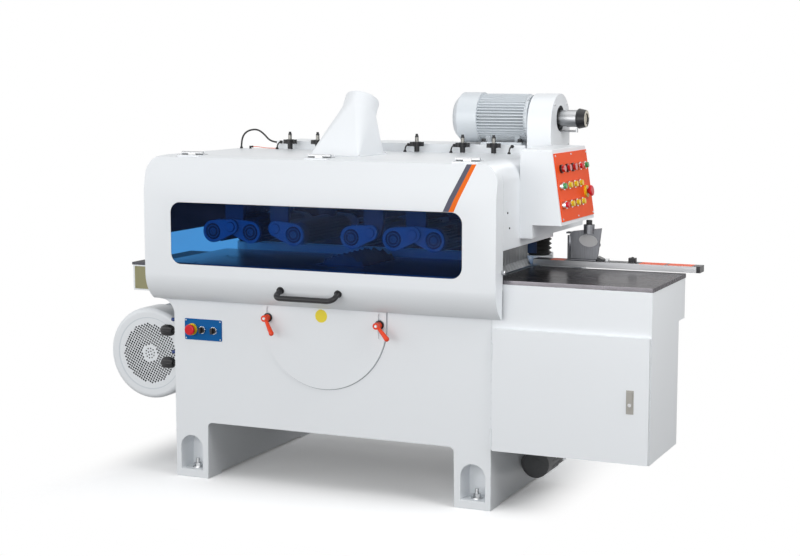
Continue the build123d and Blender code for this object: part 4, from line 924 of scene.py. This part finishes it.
# dust curtain hanging from the head in front of the right-hand bellows
curtain = {"x": (0.470, 0.630), "z": (0.860, 0.940), "face": 0.066, "thick": 0.004, "cuts": 9, "lap": 0.0008,
           "slit": 0.0006}
bm = bmesh.new()
x0, x1 = curtain["x"]
step = (x1 - x0) / curtain["cuts"]
for cut in range(curtain["cuts"]):
    left = x0 + step * cut
    right = left + step - curtain["slit"]
    face = curtain["face"] + (curtain["lap"] if cut % 2 else 0.0)
    roundPlate(bm, [(x, face, z) for x, z in around((left, right), curtain["z"])], 0.0, (0, curtain["thick"], 0))
putPiece("dustCurtain", bm, ["navy"], "head", sharp=30)

# pale seal between the hood and the head
hoodSeal = {"x": (-0.7135, 0.6785), "z": (0.921, 1.2253), "y": (-0.4322, -0.4337), "wide": 0.007,
            "corner": 0.0725, "segments": 12}
putPiece("hoodSeal", edgeRing(hoodSeal, slice(2, 4), True), ["seal"], "head", sharp=30)

# hold-down bolts of the feed motor
motorBolt = {"x": (0.3865, 0.5305), "y": (0.148, 0.288), "foot": 1.267, "across": 0.015, "height": 0.010}
bm = bmesh.new()
for x in motorBolt["x"]:
    for y in motorBolt["y"]:
        addHexBolt(bm, (x, y, motorBolt["foot"]), (0, 0, 1), motorBolt["across"], motorBolt["height"])
putPiece("feedMotorBolts", bm, ["darkCast"], "head")

# hoses over the roof, each with its radius and length
hoses = {"longSize": (0.0035, 0.221), "shortSize": (0.00275, 0.051), "lineSize": (0.0012, 0.101), "roof": 1.226,
         "long": ((-0.629, 0.082, 1.226), (-0.629, 0.082, 1.262), (-0.612, 0.090, 1.294), (-0.574, 0.104, 1.304),
                  (-0.548, 0.116, 1.288), (-0.520, 0.128, 1.251), (-0.485, 0.128, 1.251)),
         "shortX": (-0.464, 0.090, 0.280, 0.514), "short": ((0.076, 1.226), (0.076, 1.253), (0.112, 1.253)),
         "line": ((-0.5835, 0.084, 1.2335), (-0.560, 0.084, 1.2345), (-0.530, 0.0865, 1.230), (-0.505, 0.092, 1.2285),
                  (-0.484, 0.1005, 1.2280)),
         "nut": ((0, 0.0068), (0.004, 0.0068), (0.005, 0.0052), (0.008, 0.0050), (0.0082, 0.003)),
         "stem": ((0, 0.005), (0.003, 0.005), (0.0035, 0.0034), (0.0100, 0.0034), (0.0108, 0.0)), "stemBack": 0.006,
         "arm": ((0, 0.0), (0, 0.0034), (0.010, 0.0034), (0.011, 0.0040), (0.016, 0.0040), (0.0165, 0.0)),
         "armBack": 0.0092, "nutSides": 6, "steps": 14}


def hose(name, points, radius, length, finish="rubber"):
    curve = bpy.data.curves.new(name, "CURVE")
    curve.dimensions = "3D"
    curve.bevel_depth = radius
    curve.bevel_resolution = 4
    curve.use_fill_caps = True
    line = curve.splines.new("NURBS")
    line.points.add(len(points) - 1)
    for point, place in zip(line.points, points):
        point.co = (*place, 1)
    line.order_u = 3
    line.use_endpoint_u = True
    line.resolution_u = 10
    curve.materials.append(looks[finish])
    piece = bpy.data.objects.new(name, curve)
    bpy.context.scene.collection.objects.link(piece)
    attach(piece, "head")
    2 * radius
    return piece


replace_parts(hose("longHose", hoses["long"], *hoses["longSize"]), "oil_hoses")
for index, x in enumerate(hoses["shortX"]):
    hose("shortHose%d" % (index + 1), [(x, y, z) for y, z in hoses["short"]], *hoses["shortSize"])
hose("redLine", hoses["line"], *hoses["lineSize"], "redStrip")

# union nuts at both ends of each hose, and the elbow of the red line
bm = bmesh.new()
for place in [hoses["long"][0]] + [(x, *hoses["short"][0]) for x in hoses["shortX"]]:
    addShape(bm, turned(hoses["nut"], hoses["nutSides"]), place, (0, 0, 1))
addShape(bm, turned(hoses["nut"], hoses["nutSides"]), hoses["long"][-1], (-1, 0, 0))
for x in hoses["shortX"]:
    addShape(bm, turned(hoses["nut"], hoses["nutSides"]), (x, *hoses["short"][-1]), (0, -1, 0))
elbow = Vector(hoses["line"][0])
addShape(bm, turned(hoses["stem"], hoses["steps"]), (elbow.x - hoses["stemBack"], elbow.y, hoses["roof"]), (0, 0, 1))
addShape(bm, turned(hoses["arm"], hoses["steps"]), (elbow.x - hoses["armBack"], elbow.y, elbow.z), (1, 0, 0))
putPiece("hoseNuts", bm, ["black"], "head", sharp=30)
print("trim and hardware added")


# pale floor that stays white but keeps the shadow, and a white surround that lights softly
studio = {"middle": 0.09, "aside": (0.71, 1.0), "along": (0.6, 1.1), "matt": (1.15, 1.15, 1.15),
          "dull": (0.14, 0.14, 0.14), "glow": 0.08, "half": 12, "sunk": 0.0005, "white": (1, 1, 1),
          "soft": (0.95, 0.975, 1.0), "fill": 0.26}


def larger(f, first, second):
    return f.node("ShaderNodeMath", {"operation": "MAXIMUM"}, {0: first, 1: second})


def seenRays(f):
    # what the camera sees, also in a reflection or through the pane
    path = f.node("ShaderNodeLightPath", {}, {}, "Is Camera Ray")
    rays = path.socket.node.outputs
    return larger(f, path, larger(f, Wire(f, rays["Is Glossy Ray"]), Wire(f, rays["Is Transmission Ray"])))


def studioFloor():
    f = Finish("studioFloor")
    aside = f.node("ShaderNodeSeparateXYZ", {}, {"Vector": f.place}, "X")
    along = Wire(f, aside.socket.node.outputs["Y"])
    sideways = f.span(f.node("ShaderNodeMath", {"operation": "ABSOLUTE"}, {0: aside + studio["middle"]}),
                      *studio["aside"])
    lengthways = f.span(f.node("ShaderNodeMath", {"operation": "ABSOLUTE"}, {0: along}), *studio["along"])
    matt = f.node("ShaderNodeBsdfDiffuse", {}, {"Color": studio["matt"]}, "BSDF")
    dull = f.node("ShaderNodeBsdfDiffuse", {}, {"Color": studio["dull"]}, "BSDF")
    lift = f.node("ShaderNodeEmission", {}, {"Color": studio["white"], "Strength": studio["glow"]}, "Emission")
    near = f.node("ShaderNodeAddShader", {}, {0: matt, 1: lift})
    white = f.node("ShaderNodeEmission", {}, {"Color": studio["white"], "Strength": 1.0}, "Emission")
    shown = f.node("ShaderNodeMixShader", {}, {0: larger(f, sideways, lengthways), 1: near, 2: white})
    both = f.node("ShaderNodeMixShader", {}, {0: seenRays(f), 1: dull, 2: shown})
    f.node("ShaderNodeOutputMaterial", {}, {"Surface": both})
    return f.material


bm = bmesh.new()
bmesh.ops.create_grid(bm, x_segments=2, y_segments=2, size=studio["half"])
floorMesh = bpy.data.meshes.new("studioFloor")
bm.to_mesh(floorMesh)
bm.free()
floorMesh.materials.append(studioFloor())
floorPiece = bpy.data.objects.new("studioFloor", floorMesh)
floorPiece.location.z = -studio["sunk"]
bpy.context.scene.collection.objects.link(floorPiece)

world = Finish("studio", bpy.data.worlds.new("studio"))
bpy.context.scene.world = world.material
soft = world.node("ShaderNodeBackground", {}, {"Color": studio["soft"], "Strength": studio["fill"]}, "Background")
white = world.node("ShaderNodeBackground", {}, {"Color": studio["white"], "Strength": 1.0}, "Background")
both = world.node("ShaderNodeMixShader", {}, {0: seenRays(world), 1: soft, 2: white})
world.node("ShaderNodeOutputWorld", {}, {"Surface": both})

# lamp: place, target, size and power
lamps = {"key": ((-1.6, -7.0, 2.0), (0, 0, 0.8), 4.0, 158), "top": ((0.2, -0.4, 5.6), (0, 0, 0.9), 5.0, 97),
         "front": ((2.6, -7.0, 1.1), (0.2, 0, 0.8), 3.5, 142), "right": ((2.7, -1.0, 2.0), (0.6, 0, 1.05), 1.4, 30),
         "left": ((-4.4, -3.4, 1.9), (-0.6, 0, 0.8), 2.5, 52), "back": ((1.6, 5.6, 3.8), (0, 0, 0.8), 3.0, 54)}
for name, (place, target, size, power) in lamps.items():
    lampData = bpy.data.lights.new(name, "AREA")
    lampData.shape = "SQUARE"
    lampData.size = size
    lampData.energy = power
    lamp = bpy.data.objects.new(name, lampData)
    lamp.location = place
    lamp.rotation_euler = (Vector(target) - Vector(place)).to_track_quat("-Z", "Y").to_euler()
    bpy.context.scene.collection.objects.link(lamp)
print("studio set")
